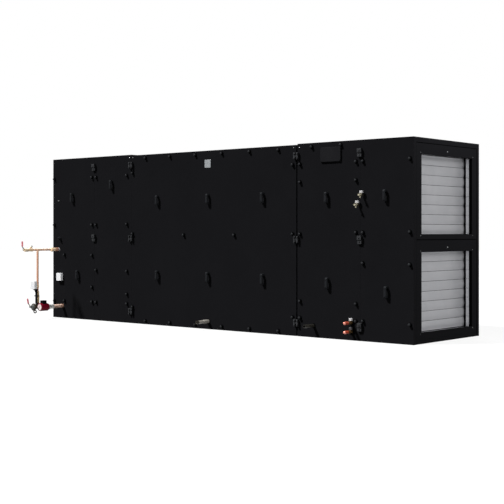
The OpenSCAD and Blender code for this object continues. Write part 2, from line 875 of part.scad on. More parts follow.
floor_panels();
roof_panels();
back_panels();
deck_panels();
for (i = [1 : 5]) {
    front_panel(i);
}
right_end_upper_panel();
right_end_lower_panel();
left_end_upper_panel();
left_end_lower_panel();
upper_damper_frame();
lower_damper_frame();
left_damper_frames();
left_damper_blades();
for (i = [1 : blade_count]) {
    damper_blade(upper_duct, i);
    damper_blade(lower_duct, i);
}
panel_knobs();
panel_handles();
seam_clamps();
section_brackets();
control_cover();
junction_box();
middle_drain();
right_drain();
coil_pipe_ends();
coil_cocks();
cock_caps();
return_pipe();
pipe_unions();
bypass_pipe();
flow_pipes();
balancing_valve();
return_ball_valve();
return_lever();
flow_ball_valve();
flow_lever();
mixing_valve();
valve_yoke();
valve_actuator();
pump_volute();
pump_motor();
pump_terminal_box();
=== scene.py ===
import json
import math

import bmesh
import bpy
from mathutils import Matrix, Vector


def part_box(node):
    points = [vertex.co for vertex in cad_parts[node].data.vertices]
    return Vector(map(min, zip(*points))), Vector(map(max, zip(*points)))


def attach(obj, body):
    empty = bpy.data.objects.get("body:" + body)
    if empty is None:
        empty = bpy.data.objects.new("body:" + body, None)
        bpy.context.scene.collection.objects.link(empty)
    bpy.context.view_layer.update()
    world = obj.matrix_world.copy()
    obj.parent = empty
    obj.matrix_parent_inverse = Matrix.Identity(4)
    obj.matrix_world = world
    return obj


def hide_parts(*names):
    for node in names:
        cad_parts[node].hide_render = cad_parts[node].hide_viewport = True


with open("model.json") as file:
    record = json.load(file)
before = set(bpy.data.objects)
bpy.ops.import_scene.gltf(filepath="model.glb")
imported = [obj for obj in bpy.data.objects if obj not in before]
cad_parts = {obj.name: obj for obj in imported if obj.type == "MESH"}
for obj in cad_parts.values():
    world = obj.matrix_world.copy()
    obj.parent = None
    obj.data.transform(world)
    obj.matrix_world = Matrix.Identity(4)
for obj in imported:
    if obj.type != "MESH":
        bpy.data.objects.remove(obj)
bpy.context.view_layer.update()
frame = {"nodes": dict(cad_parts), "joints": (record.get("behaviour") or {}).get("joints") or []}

scene = bpy.context.scene
scene.view_settings.view_transform = "Standard"
mm = 0.001
near = 1e-4  # metres within which a corner lies on a face
weld = 1e-5  # metres within which two corners are one
spinWeld = 1e-6  # the same where a spun profile closes
flat = math.radians(0.5)  # faces that turn less than this are one
smooth = math.radians(40)  # edges that turn less than this are shaded smooth
quarter = math.pi / 2
outwards = (0, -1, 0)  # away from the service side
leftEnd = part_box("front_panel_1")[0].x
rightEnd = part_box("front_panel_5")[1].x
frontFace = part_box("front_panel_1")[0].y
print("frame loaded with", len(frame["nodes"]), "nodes")


# an sRGB hex code as linear colour
def hexLinear(code):
    channels = [int(code[i:i + 2], 16) / 255 for i in (1, 3, 5)]
    return [c / 12.92 if c <= 0.04045 else ((c + 0.055) / 1.055) ** 2.4 for c in channels] + [1.0]


def addNode(tree, kind, settings=None, links=None):
    node = tree.nodes.new(kind)
    for key, value in (settings or {}).items():
        if key == "stops":
            for k, (place, code) in enumerate(value):
                stop = node.color_ramp.elements[k] if k < 2 else node.color_ramp.elements.new(place)
                stop.position, stop.color = place, hexLinear(code)
        elif isinstance(key, str) and hasattr(node, key):
            setattr(node, key, value)
        else:
            node.inputs[key].default_value = value
    for key, source in (links or {}).items():
        tree.links.new(source, node.inputs[key])
    return node


# a new material, its tree and its own coordinates
def startFinish(name):
    finish = bpy.data.materials.new(name)
    finish.use_nodes = True
    return finish, finish.node_tree, addNode(finish.node_tree, "ShaderNodeTexCoord").outputs["Object"]


# tone and gloss follow one pattern over a span of its values, the bump follows another to a depth in mm
def endFinish(finish, tones, gloss, pattern, span, height, strength, depth, metallic=0.0, specular=0.5):
    tree = finish.node_tree
    shader = tree.nodes["Principled BSDF"]
    shader.inputs["Metallic"].default_value = metallic
    shader.inputs["Specular IOR Level"].default_value = specular
    tone = addNode(tree, "ShaderNodeValToRGB", {"stops": tones}, {"Fac": pattern})
    shine = addNode(tree, "ShaderNodeMapRange", {"From Min": span[0], "From Max": span[1], "To Min": gloss[0],
                                                 "To Max": gloss[1]}, {"Value": pattern})
    relief = addNode(tree, "ShaderNodeBump", {"Strength": strength, "Distance": depth * mm}, {"Height": height})
    tree.links.new(tone.outputs["Color"], shader.inputs["Base Color"])
    tree.links.new(shine.outputs["Result"], shader.inputs["Roughness"])
    tree.links.new(relief.outputs["Normal"], shader.inputs["Normal"])
    return finish


# sprayed and baked coats: orange peel in the bump, slow hazy patches in tone and gloss
def coatFinish(name, tones, hazeMm, peelMm, peel, gloss, specular=0.5, stops=(0.3, 0.7)):
    finish, tree, place = startFinish(name)
    haze = addNode(tree, "ShaderNodeTexNoise", {"Scale": 1000 / hazeMm, "Detail": 5.0, "Roughness": 0.62},
                   {"Vector": place})
    skin = addNode(tree, "ShaderNodeTexNoise", {"Scale": 1000 / peelMm, "Detail": 2.0}, {"Vector": place})
    return endFinish(finish, zip(stops, tones), gloss, haze.outputs["Fac"], (0.3, 0.7), skin.outputs["Fac"], peel, 0.4,
                     specular=specular)


# injection mouldings and rubber: spark-eroded grain from cells, soft flow marks in the tone
def mouldedFinish(name, tones, grainMm, flowMm, grain, gloss, specular=0.5):
    finish, tree, place = startFinish(name)
    cells = addNode(tree, "ShaderNodeTexVoronoi", {"Scale": 1000 / grainMm}, {"Vector": place})
    flow = addNode(tree, "ShaderNodeTexNoise", {"Scale": 1000 / flowMm, "Detail": 3.0, "Distortion": 0.8},
                   {"Vector": place})
    return endFinish(finish, zip((0.3, 0.7), tones), gloss, flow.outputs["Fac"], (0.0, 1.0), cells.outputs["Distance"],
                     grain, 0.3, specular=specular)


# extruded, drawn and turned metal: fine lines along one axis, and fingermarks that dull the shine
def drawnFinish(name, tones, axis, lineMm, runMm, markMm, line, gloss, metallic):
    finish, tree, place = startFinish(name)
    along = [1000 / (runMm if letter == axis else lineMm) for letter in "XYZ"]
    stretched = addNode(tree, "ShaderNodeMapping", {"Scale": along}, {"Vector": place})
    lines = addNode(tree, "ShaderNodeTexNoise", {"Scale": 1.0, "Detail": 4.0, "Roughness": 0.55},
                    {"Vector": stretched.outputs["Vector"]})
    marks = addNode(tree, "ShaderNodeTexNoise", {"Scale": 1000 / markMm, "Detail": 4.0, "Distortion": 0.4},
                    {"Vector": place})
    both = addNode(tree, "ShaderNodeMath", {"operation": "MULTIPLY_ADD", 1: 0.45},
                   {0: lines.outputs["Fac"], 2: marks.outputs["Fac"]})
    return endFinish(finish, zip((0.45, 0.95), tones), gloss, both.outputs["Value"], (0.45, 1.0), lines.outputs["Fac"],
                     line, 0.2, metallic)


# sand castings and dulled metal: a pitted skin, and tarnish that gathers in cloudy patches
def castFinish(name, tones, cloudMm, pitMm, pit, gloss, metallic=0.0, specular=0.5, stops=(0.3, 0.55, 0.75)):
    finish, tree, place = startFinish(name)
    cloud = addNode(tree, "ShaderNodeTexNoise", {"Scale": 1000 / cloudMm, "Detail": 6.0, "Roughness": 0.65},
                    {"Vector": place})
    pits = addNode(tree, "ShaderNodeTexNoise", {"Scale": 1000 / pitMm, "Detail": 5.0, "Roughness": 0.7},
                   {"Vector": place})
    return endFinish(finish, zip(stops, tones), gloss, cloud.outputs["Fac"], (0.3, 0.7), pits.outputs["Fac"], pit, 0.6,
                     metallic, specular)


# black polyester powder coat on sheet steel: a deep satin black, its 2 mm peel drawn at 7 mm so that it shows
satin = {"peelMm": 7, "peel": 0.12, "gloss": (0.42, 0.54), "specular": 0.003, "stops": (0.25, 0.75)}
powderCoat = coatFinish("black_powder_coat", ("#161618", "#18181a"), 420, **satin)
# the control cover comes from another batch of the same coat, a shade greyer
coverCoat = coatFinish("grey_black_cover_coat", ("#1c1c1e", "#212123"), 160, **satin)
# dipped black paint on folded steel brackets: a greyer black, put on their fronts and tops as painted light
bracketPaint = coatFinish("black_bracket_paint", ("#2e2f31", "#3b3c3e"), 60, 4, 0.2, (0.36, 0.5), 0.03)
# painted steel tube, nearly black
tubePaint = coatFinish("dark_tube_paint", ("#1c1b17", "#272520"), 40, 4, 0.15, (0.36, 0.5))
# stoved red enamel on the pump: deep and even
redEnamel = coatFinish("red_pump_enamel", ("#680a1c", "#800f2a"), 40, 3, 0.15, (0.26, 0.38), 0.1)

# closed-cell rubber: a dead black with no shine; the same black stands as painted shade on knob grips, cover sides and
# cut edges
gasketRubber = mouldedFinish("black_rubber_and_painted_shade", ("#040405", "#070708"), 3, 60, 0.25, (0.8, 0.92), 0.01)
# glass-filled nylon, moulded: a greyer black with a fine grain, 0.5 mm drawn at 2.5 mm
nylon = {"grainMm": 2.5, "flowMm": 35, "grain": 0.3, "gloss": (0.42, 0.58), "specular": 0.03}
blackNylon = mouldedFinish("moulded_black_nylon", ("#1b1c1e", "#232427"), **nylon)
# the same nylon, paler, on the knobs' domed fronts as a painted highlight
rubbedNylon = mouldedFinish("painted_highlight_knob_nylon", ("#232426", "#2c2d2f"), **nylon)
# the yoke's nylon has no glass in it and stays blacker
yokeNylon = mouldedFinish("plain_black_nylon", ("#0e0e0f", "#161617"), **nylon)
# moulded ABS housings: off-white, faintly blue where they turn from the light
whiteAbs = mouldedFinish("moulded_white_abs", ("#e2e4e8", "#eaebec"), 2, 50, 0.15, (0.4, 0.52))
# the motor's end disc: the same plastic, a pinkish white
discAbs = mouldedFinish("pinkish_white_abs", ("#ead9d8", "#f1e3e1"), 2, 50, 0.15, (0.4, 0.52))
# polypropylene caps: greyer and waxier than the housings
whiteCap = mouldedFinish("white_polypropylene", ("#b7b6b8", "#c3c2c3"), 2, 20, 0.1, (0.3, 0.42))
# the lowest cap is darkened grey as painted shade, the test plug in a paler polyamide
greyCap = mouldedFinish("painted_shade_polypropylene", ("#3d3b3d", "#474547"), 2, 20, 0.1, (0.36, 0.48), 0.2)
greyPlug = mouldedFinish("grey_polyamide", ("#5c5c5d", "#686869"), 2, 20, 0.1, (0.36, 0.48), 0.2)
# extruded PVC drain pipe: weathered grey, and stained dark round its mouth
drainPvc = mouldedFinish("weathered_pvc", ("#918d86", "#9c9890"), 4, 70, 0.08, (0.34, 0.46))
stainedPvc = mouldedFinish("stained_pvc", ("#2b2824", "#37342e"), 4, 20, 0.08, (0.5, 0.62), 0.2)
# soft vinyl dip on the levers, bleached by the weather
redVinyl = mouldedFinish("red_vinyl_dip", ("#dc7b88", "#e88d98"), 2, 20, 0.2, (0.36, 0.5))

# mill-finish aluminium extrusion: pale grey, with die lines along the blade
bladeAluminium = drawnFinish("mill_aluminium_blade", ("#959699", "#a1a1a4"), "Y", 2.2, 900, 180, 0.12, (0.42, 0.56),
                             0.85)
# the frame's rails are smoother and mirror the blades
railAluminium = drawnFinish("drawn_aluminium_rail", ("#e8e9eb", "#f2f2f4"), "Z", 1.5, 700, 140, 0.05, (0.1, 0.2), 1.0)
# bare anodised plate: a flat mid grey
plateAluminium = drawnFinish("anodised_plate", ("#888c8f", "#969a9d"), "X", 0.9, 60, 30, 0.08, (0.36, 0.5), 0.3)
# zinc-plated steel: bolt heads, pins and lever cranks
zincSteel = drawnFinish("zinc_plated_steel", ("#8e9193", "#b1b3b3"), "X", 0.8, 30, 14, 0.08, (0.28, 0.42), 1.0)
# machined brass has dulled; on the unions and the balancing valve it is painted paler, as painted light
machinedBrass = drawnFinish("machined_brass", ("#b59a6c", "#c6ac80"), "Y", 1.0, 40, 22, 0.1, (0.28, 0.44), 0.3)
brightBrass = drawnFinish("painted_light_brass", ("#f8d6ab", "#ffe5c3"), "Y", 1.0, 40, 22, 0.1, (0.28, 0.44), 0.05)

# bare copper tube: salmon where it was rubbed, brown where it has dulled
pipeCopper = castFinish("dulled_copper_tube", ("#d39a7b", "#dfab8e", "#bf8565"), 55, 5, 0.05, (0.28, 0.44), 0.4)
# the same tube painted paler along the return line, as painted light
rubbedCopper = castFinish("painted_light_copper_tube", ("#f2c4a4", "#fad3b8", "#dca684"), 55, 5, 0.05, (0.34, 0.5), 0.05)
# the flow stub's copper: very pale as painted light, with brown patches from the brazing flame
brazedCopper = castFinish("brazed_painted_light_copper_stub", ("#f6d3c0", "#fbd9c6", "#7a4a28"), 40, 4, 0.06, (0.18, 0.34),
                          specular=0.3, stops=(0.34, 0.5, 0.62))
# the return stub was soldered: grey where the tin ran, and the sleeve beside it browned
tinnedCopper = castFinish("tinned_copper", ("#b9b2ae", "#c8c2be", "#8d8078"), 30, 4, 0.06, (0.24, 0.4), specular=0.2)
heatedCopper = castFinish("heated_copper", ("#b98468", "#c99a82", "#7c4a2c"), 30, 4, 0.06, (0.24, 0.4), specular=0.2)
# the coil's ends: bright on the dome, red from the flame behind it, darker brown towards the panel
coilCopper = castFinish("bright_copper_end", ("#d0705a", "#e39583", "#a8503a"), 30, 4, 0.05, (0.26, 0.42), 0.5)
flamedCopper = castFinish("flamed_copper", ("#b8412b", "#cd5a41", "#8c3320"), 20, 4, 0.05, (0.3, 0.46), 0.3)
brownCopper = castFinish("dark_brown_copper", ("#4a371f", "#5c472a", "#30230f"), 20, 4, 0.08, (0.36, 0.5), 0.3)
# brass left as cast: a pale olive; bronze blackened in the pickle, whose black also stands as painted shade on the
# flow valve's back half
castBrass = castFinish("cast_brass", ("#a39d84", "#b3ad97", "#8c856c"), 18, 2.5, 0.3, (0.36, 0.52), 0.4)
castBronze = castFinish("blackened_bronze", ("#28231c", "#353027", "#1c1915"), 24, 3, 0.35, (0.4, 0.58), 0.1, 0.1)
# nickel plate on a hot brass stamping: greenish grey; the return valve's is thinner, and the brass tints it
plated = {"cloudMm": 20, "pitMm": 2.5, "pit": 0.15, "gloss": (0.3, 0.44), "stops": (0.3, 0.6, 0.78)}
nickelPlate = castFinish("nickel_plate", ("#b4b6b2", "#cbccc8", "#979995"), metallic=0.45, **plated)
thinPlate = castFinish("thin_nickel_plate", ("#dcc7a6", "#ead7b8", "#c0a988"), metallic=0.1, **plated)
# painted grey cast iron: matt, with a sandy skin
castIron = castFinish("painted_cast_iron", ("#454745", "#585a57", "#363836"), 45, 3, 0.5, (0.44, 0.6),
                      stops=(0.3, 0.6, 0.78))
print("finishes made:", len(bpy.data.materials))


# a copy of a CAD node's loose triangles with their corners merged
def mergedCopy(node):
    part = bmesh.new()
    part.from_mesh(frame["nodes"][node].data)
    bmesh.ops.remove_doubles(part, verts=part.verts, dist=weld)
    return part


# the same with its triangles joined into plain faces
def cadCopy(node):
    part = mergedCopy(node)
    bmesh.ops.dissolve_limit(part, angle_limit=flat, verts=part.verts, edges=part.edges)
    return part


# the lowest and highest corners of each solid in a node
def solidBoxes(node):
    part = mergedCopy(node)
    boxes, left = [], set(part.verts)
    while left:
        island = [left.pop()]
        for vert in island:
            for edge in vert.link_edges:
                other = edge.other_vert(vert)
                if other in left:
                    left.remove(other)
                    island.append(other)
        spans = [[v.co[k] for v in island] for k in range(3)]
        boxes.append((Vector([min(s) for s in spans]), Vector([max(s) for s in spans])))
    part.free()
    return sorted(boxes, key=lambda b: (round(b[0].x, 3), round(b[0].z, 3)))


# rounds the edges that turn more than an angle, by a width in mm
def soften(part, width, segments=2, angle=30):
    sharp = [e for e in part.edges if len(e.link_faces) == 2 and e.calc_face_angle() > math.radians(angle)]
    bmesh.ops.bevel(part, geom=sharp, offset=width * mm, offset_type="OFFSET", segments=segments, profile=0.5,
                    affect="EDGES", clamp_overlap=True, material=-1)
    return part


# a turned part about its own Z, from pairs of radius and height in mm, closed to the axis at both ends
def turnedPart(profile, steps=32, closed=True):
    part = bmesh.new()
    if closed:
        profile = dict.fromkeys([(0, profile[0][1]), *profile, (0, profile[-1][1])])
    line = [part.verts.new((radius * mm, 0, height * mm)) for radius, height in profile]
    edges = [part.edges.new(pair) for pair in zip(line, line[1:])]
    bmesh.ops.spin(part, geom=line + edges, cent=(0, 0, 0), axis=(0, 0, 1), angle=2 * math.pi, steps=steps,
                   use_merge=True)
    bmesh.ops.remove_doubles(part, verts=part.verts, dist=spinWeld)
    bmesh.ops.recalc_face_normals(part, faces=part.faces)
    return part


# a block on its base with round upright corners and softened edges
def roundedBlock(width, depth, height, corner, edge=0.8):
    part = bmesh.new()
    bmesh.ops.create_cube(part, size=1, matrix=Matrix.Translation((0, 0, height / 2 * mm))
                          @ Matrix.Diagonal((width * mm, depth * mm, height * mm, 1)))
    upright = [e for e in part.edges if abs(e.verts[0].co.z - e.verts[1].co.z) > height / 2 * mm]
    bmesh.ops.bevel(part, geom=upright, offset=corner * mm, segments=5, profile=0.5, affect="EDGES", material=-1)
    return soften(part, edge, 2, 60)


# gives each face the number of the finish that a rule picks from its middle and its normal
def paint(part, rule):
    for face in part.faces:
        face.material_index = rule(face.calc_center_median(), face.normal)


# fronts and tops take the first finish, the other sides the second as painted shade
def paintFronts(part):
    part.normal_update()
    paint(part, lambda at, out: 0 if out.y < -0.5 or out.z > 0.5 else 1)
    return part


# adds a part in one finish, or with the finishes its faces have when that is None
def addPart(target, part, place=Matrix(), finish=0):
    if finish is not None:
        paint(part, lambda at, out: finish)
    part.transform(place)
    scratch = bpy.data.meshes.new("scratch")
    part.to_mesh(scratch)
    part.free()
    target.from_mesh(scratch)
    bpy.data.meshes.remove(scratch)


# a turned part put in its place
def addTurned(target, profile, place, finish=0, steps=32):
    addPart(target, turnedPart(profile, steps), place, finish)


# a plain length of tube or bar
def addRod(target, radius, low, high, place, finish=0):
    addTurned(target, [(radius, low), (radius, high)], place, finish)


# a nut or hexagon from one height to another, with chamfered corners
def addHex(target, acrossFlats, low, high, chamfer, place, finish=0, sides=6):
    part = bmesh.new()
    radius = acrossFlats / 2 / math.cos(math.pi / sides) * mm
    bmesh.ops.create_cone(part, cap_ends=True, segments=sides, radius1=radius, radius2=radius,
                          depth=(high - low) * mm, matrix=Matrix.Translation((0, 0, (low + high) / 2 * mm)))
    addPart(target, soften(part, chamfer, 2), place, finish)


# a washer and a hexagon bolt head
def addBolt(bm, place, acrossFlats, finish):
    washer = acrossFlats * 0.85
    addTurned(bm, [(washer, 0), (washer, 1.2), (acrossFlats * 0.8, 1.6)], place, finish, 20)
    addHex(bm, acrossFlats, 1.6, 1.6 + acrossFlats * 0.42, 0.8, place, finish)


# a domed screw head with a sunk drive
def addScrew(bm, place, diameter, finish):
    r = diameter / 2
    addTurned(bm, [(r, 0), (r, r * 0.25), (r * 0.8, r * 0.6), (r * 0.45, r * 0.75), (r * 0.4, r * 0.35)], place,
              finish, 16)


# a screw in each corner of a face so many mm up, set in and sunk as the piece's settings say
def addCornerScrews(bm, place, wide, tall, height, look, finish):
    x, y = wide / 2 - look["screwIn"], tall / 2 - look["screwIn"]
    for spot in ((-x, -y), (-x, y), (x, -y), (x, y)):
        addScrew(bm, place @ Matrix.Translation(Vector((*spot, height - look["sunk"])) * mm), look["screw"], finish)


# local Z along a direction, from a point in metres
def aim(origin, direction):
    return Matrix.Translation(origin) @ Vector(direction).to_track_quat("Z", "Y").to_matrix().to_4x4()


# the middle of a box's back, with local Z out of the service side
def seatOf(low, high):
    return aim(((low.x + high.x) / 2, high.y, (low.z + high.z) / 2), outwards)


# radius and length in mm of a round solid that points that way
def roundSize(low, high):
    return (high.x - low.x) / 2 / mm, (high.y - low.y) / mm


# local Z out of the service side, X along the unit, Y up; mm from the left end, off the panels, above the base
def servicePlace(x, out, z):
    return Matrix.Translation((leftEnd + x * mm, frontFace - out * mm, z * mm)) @ Matrix.Rotation(quarter, 4, "X")


# a node's width, height and depth in mm, and its place on the service side
def serviceFrame(node):
    low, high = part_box(node)
    wide, deep, tall = ((b - a) / mm for a, b in zip(low, high))
    middle = Matrix.Translation(((low.x + high.x) / 2, high.y, (low.z + high.z) / 2))
    return wide, tall, deep, middle @ Matrix.Rotation(quarter, 4, "X")


# a named piece that rides on a body, wears its finishes and takes the place of a CAD node
def finishPiece(bm, name, slotName, finishes, node=None, body="casing"):
    mesh = bpy.data.meshes.new(name)
    bm.to_mesh(mesh)
    bm.free()
    for finish in finishes:
        mesh.materials.append(finish)
    mesh.polygons.foreach_set("use_smooth", [True] * len(mesh.polygons))
    mesh.set_sharp_from_angle(angle=smooth)
    piece = bpy.data.objects.new(name, mesh)
    scene.collection.objects.link(piece)
    weighted = piece.modifiers.new("faceWeight", "WEIGHTED_NORMAL")
    weighted.keep_sharp = True
    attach(piece, body)
    if node:
        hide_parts(node)
    return piece


camera = {"place": (8.578, -9.900, 1.1205), "heading": 40.5527, "lens": 78.80, "sensor": 36, "shiftY": -0.0416}
eye = bpy.data.objects.new("photo_camera", bpy.data.cameras.new("photo_camera"))
eye.data.lens = camera["lens"]
eye.data.sensor_width = camera["sensor"]
eye.data.shift_y = camera["shiftY"]
eye.location = camera["place"]
eye.rotation_euler = (quarter, 0, math.radians(camera["heading"]))
scene.collection.objects.link(eye)
scene.camera = eye

# a hard key from the front left, a low sun and a soft lamp for the right end, a fill for the back
studio = {"ambient": 0.08, "bounce": 0.12, "paper": 0.8, "glow": 0.85, "floorSize": 45, "floorZ": -0.0005,
          "keyTo": (-0.413, -0.472, 0.778), "keyPower": 5.7, "keySpread": 5,
          "sideTo": (0.84, -0.05, 0.54), "sidePower": 1.3, "sideSpread": 20,
          "fillTo": (-0.45, 0.75, 0.48), "fillPower": 2.2, "fillSpread": 30,
          "lampReach": (1.3, 0.0, 3.2), "lampAim": 1.0, "lampSize": 1.8, "lampPower": 44}
white = (1, 1, 1, 1)


# 1 where the camera looks, straight or by way of metal and glass
def seenFactor(tree):
    path = addNode(tree, "ShaderNodeLightPath").outputs
    first = addNode(tree, "ShaderNodeMath", {"operation": "MAXIMUM"},
                    {0: path["Is Camera Ray"], 1: path["Is Glossy Ray"]})
    return addNode(tree, "ShaderNodeMath", {"operation": "MAXIMUM"},
                   {0: first.outputs["Value"], 1: path["Is Transmission Ray"]}).outputs["Value"]


# one shader for those looks and another for all other light
def mixSeen(tree, hidden, seen):
    return addNode(tree, "ShaderNodeMixShader", {}, {0: seenFactor(tree), 1: hidden.outputs[0], 2: seen.outputs[0]})


world = bpy.data.worlds.new("studio")
scene.world = world
world.use_nodes = True
tree = world.node_tree
tree.nodes.clear()
dim = addNode(tree, "ShaderNodeBackground", {"Color": white, "Strength": studio["ambient"]})
bright = addNode(tree, "ShaderNodeBackground", {"Color": white, "Strength": 1.0})
addNode(tree, "ShaderNodeOutputWorld", {}, {"Surface": mixSeen(tree, dim, bright).outputs[0]})

for name in ("key", "side", "fill"):
    sun = bpy.data.objects.new(name + "_sun", bpy.data.lights.new(name + "_sun", "SUN"))
    sun.data.energy = studio[name + "Power"]
    sun.data.angle = math.radians(studio[name + "Spread"])
    sun.rotation_euler = Vector(studio[name + "To"]).to_track_quat("Z", "Y").to_euler()
    scene.collection.objects.link(sun)
across, aside, up = studio["lampReach"]
lamp = bpy.data.objects.new("end_lamp", bpy.data.lights.new("end_lamp", "AREA"))
lamp.data.shape = "DISK"
lamp.data.size = studio["lampSize"]
lamp.data.energy = studio["lampPower"]
lamp.location = (rightEnd + across, aside, up)
lamp.rotation_euler = Vector((across, aside, up - studio["lampAim"])).to_track_quat("Z", "Y").to_euler()
lamp.visible_camera = False
lamp.visible_glossy = False
scene.collection.objects.link(lamp)

floorPaper = bpy.data.materials.new("white_studio_paper")
floorPaper.use_nodes = True
tree = floorPaper.node_tree
tree.nodes.clear()
bounce = addNode(tree, "ShaderNodeBsdfDiffuse", {"Color": [studio["bounce"]] * 3 + [1]})
paper = addNode(tree, "ShaderNodeBsdfDiffuse", {"Color": [studio["paper"]] * 3 + [1]})
glow = addNode(tree, "ShaderNodeEmission", {"Color": white, "Strength": 1.0})
shown = addNode(tree, "ShaderNodeMixShader", {0: studio["glow"]}, {1: paper.outputs[0], 2: glow.outputs[0]})
addNode(tree, "ShaderNodeOutputMaterial", {}, {"Surface": mixSeen(tree, bounce, shown).outputs[0]})
sheet = bmesh.new()
bmesh.ops.create_grid(sheet, x_segments=4, y_segments=4, size=studio["floorSize"])
floorMesh = bpy.data.meshes.new("studio_floor")
sheet.to_mesh(floorMesh)
sheet.free()
floorMesh.materials.append(floorPaper)
floor = bpy.data.objects.new("studio_floor", floorMesh)
floor.location.z = studio["floorZ"]
scene.collection.objects.link(floor)
print("camera, light and floor set")

# casing panels: folded skins with a small bend at every edge; seams and the left joint close up, the right joint gapes
panels = {"bend": 0.9, "steps": 2, "seamClose": 1.3, "jointClose": 2.5, "jointOpen": 5, "revealMargin": 30,
          "endSunk": 3, "endBorder": 6, "endSeam": 2.5, "backSunk": 3}
fronts = ["front_panel_%d" % i for i in range(1, 6)]
moves = (panels["seamClose"], panels["jointClose"], -panels["jointOpen"], panels["seamClose"])
edgesAt = {}
for first, second, move in zip(fronts, fronts[1:], moves):
    edgesAt[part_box(first)[1].x] = move * mm
    edgesAt[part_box(second)[0].x] = -move * mm
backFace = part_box("back_panels")[1].y
for node in ["floor_panels", "roof_panels", "back_panels", "deck_panels"] + fronts:
    part = cadCopy(node)
    for vert in part.verts:
        vert.co.x += sum(move for edge, move in edgesAt.items() if abs(vert.co.x - edge) < near)
        if node == "back_panels" and vert.co.y > backFace - near:
            vert.co.y -= panels["backSunk"] * mm
    soften(part, panels["bend"], panels["steps"])
    finishPiece(part, node + "_skin", "casing_paint", [powderCoat], node)
for node in ("right_end_upper_panel", "right_end_lower_panel", "left_end_upper_panel", "left_end_lower_panel"):
    part = cadCopy(node)
    low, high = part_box(node)
    upper = "upper" in node
    for vert in part.verts:  # a sunk face with a dark joint round it
        x, y, z = vert.co
        if abs(x) > rightEnd - near:
            vert.co.x -= math.copysign(panels["endSunk"] * mm, x)
        if abs(y) > high.y - near:
            vert.co.y -= math.copysign(panels["endBorder"] * mm, y)
        if z > high.z - near:
            vert.co.z -= panels["endBorder" if upper else "endSeam"] * mm
        elif upper and z < low.z + near:
            vert.co.z += panels["endSeam"] * mm
    soften(part, panels["bend"], panels["steps"])
    inset = panels["revealMargin"] * mm  # the cut edge round the opening is black as painted shade
    paint(part, lambda at, out: int(abs(out.x) < 0.3 and low.y + inset < at.y < high.y - inset
                                    and low.z + inset < at.z < high.z - inset))
    finishPiece(part, node + "_skin", "casing_paint", [powderCoat, gasketRubber], node)
print("casing panels done")

# dampers: blades with longer visible lips, steel pins and moulded end caps; rails with side seals
damper = {"lip": 1.5, "edge": 0.5, "rail": 40, "railEdge": 0.8, "sealThick": 3, "sealFrom": 76, "sealTo": 128,
          "sealCorner": 1.2, "sealEdge": 0.4}
bladeFinishes = [bladeAluminium, zincSteel, blackNylon]
leftBlades = bmesh.new()
for node in ["%s_blade_%d" % (row, i) for row in ("upper", "lower") for i in range(1, 9)]:
    low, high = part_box(node)
    middle = (low + high) / 2
    reach = (high.z - low.z) / 2
    part = cadCopy(node)
    for vert in part.verts:
        if abs(vert.co.z - middle.z) > reach - near:
            vert.co.z += math.copysign(damper["lip"] * mm, vert.co.z - middle.z)
    soften(part, damper["edge"], 1, 60)
    endAt = max(abs(v.co.y) for v in part.verts if abs(v.co.z - middle.z) > reach)
    paint(part, lambda at, out: 2 if abs(out.y) > 0.9 and abs(abs(at.y) - endAt) < mm
          else int(abs(at.y) > endAt - near))
    twin = part.copy()  # the left end mirrors the right one
    bmesh.ops.reverse_faces(twin, faces=twin.faces)
    addPart(leftBlades, twin, Matrix.Scale(-1, 4, (1, 0, 0)), None)
    finishPiece(part, node + "_extrusion", "damper_blade", bladeFinishes, node, node)
finishPiece(leftBlades, "left_blade_extrusions", "damper_blade", bladeFinishes, "left_damper_blades")

for node in ("upper_damper_frame", "lower_damper_frame", "left_damper_frames"):
    frames = soften(cadCopy(node), damper["railEdge"], 1)
    for low, high in solidBoxes(node):
        rail = damper["rail"] * mm
        tall = (high.z - low.z - 2 * rail) / mm
        x = math.copysign(rightEnd - (damper["sealFrom"] + damper["sealTo"]) / 2 * mm, high.x)
        inner = high.y - rail - damper["sealThick"] / 2 * mm
        for y in (-inner, inner):
            seal = roundedBlock(damper["sealThick"], damper["sealTo"] - damper["sealFrom"], tall,
                                damper["sealCorner"], damper["sealEdge"])
            addPart(frames, seal, Matrix.Translation((x, y, low.z + rail)) @ Matrix.Rotation(quarter, 4, "Z"), 1)
    finishPiece(frames, node + "_rails", "damper_frame", [railAluminium, gasketRubber], node)
print("dampers done")

# bow handles: rounded mouldings, with two capped screws in the feet
handleLook = {"round": 3.2, "steps": 3, "screw": 10, "screwIn": 24, "screwSunk": 0.8}
handles = soften(cadCopy("panel_handles"), handleLook["round"], handleLook["steps"], 40)
for low, high in solidBoxes("panel_handles"):
    for z in (low.z + handleLook["screwIn"] * mm, high.z - handleLook["screwIn"] * mm):
        spot = ((low.x + high.x) / 2, low.y + handleLook["screwSunk"] * mm, z)
        addScrew(handles, aim(spot, outwards), handleLook["screw"], 0)
finishPiece(handles, "bow_handles", "black_moulding", [blackNylon], "panel_handles")

# fixing knobs on rubber washers: a flange, a fluted grip and a domed top; the dome paler as a painted highlight, the
# grip and washer black as painted shade
# one more latches the cover, and the larger piece is a cable gland
knobLook = {"flutes": 8, "steps": 24, "fluteDeep": 1.2, "fluteEdge": 0.4, "glandFrom": 18, "latch": (4624, 2011),
            "latchR": 15, "latchH": 24, "front": 7, "washer": 5, "grow": 1.2, "rise": 5}


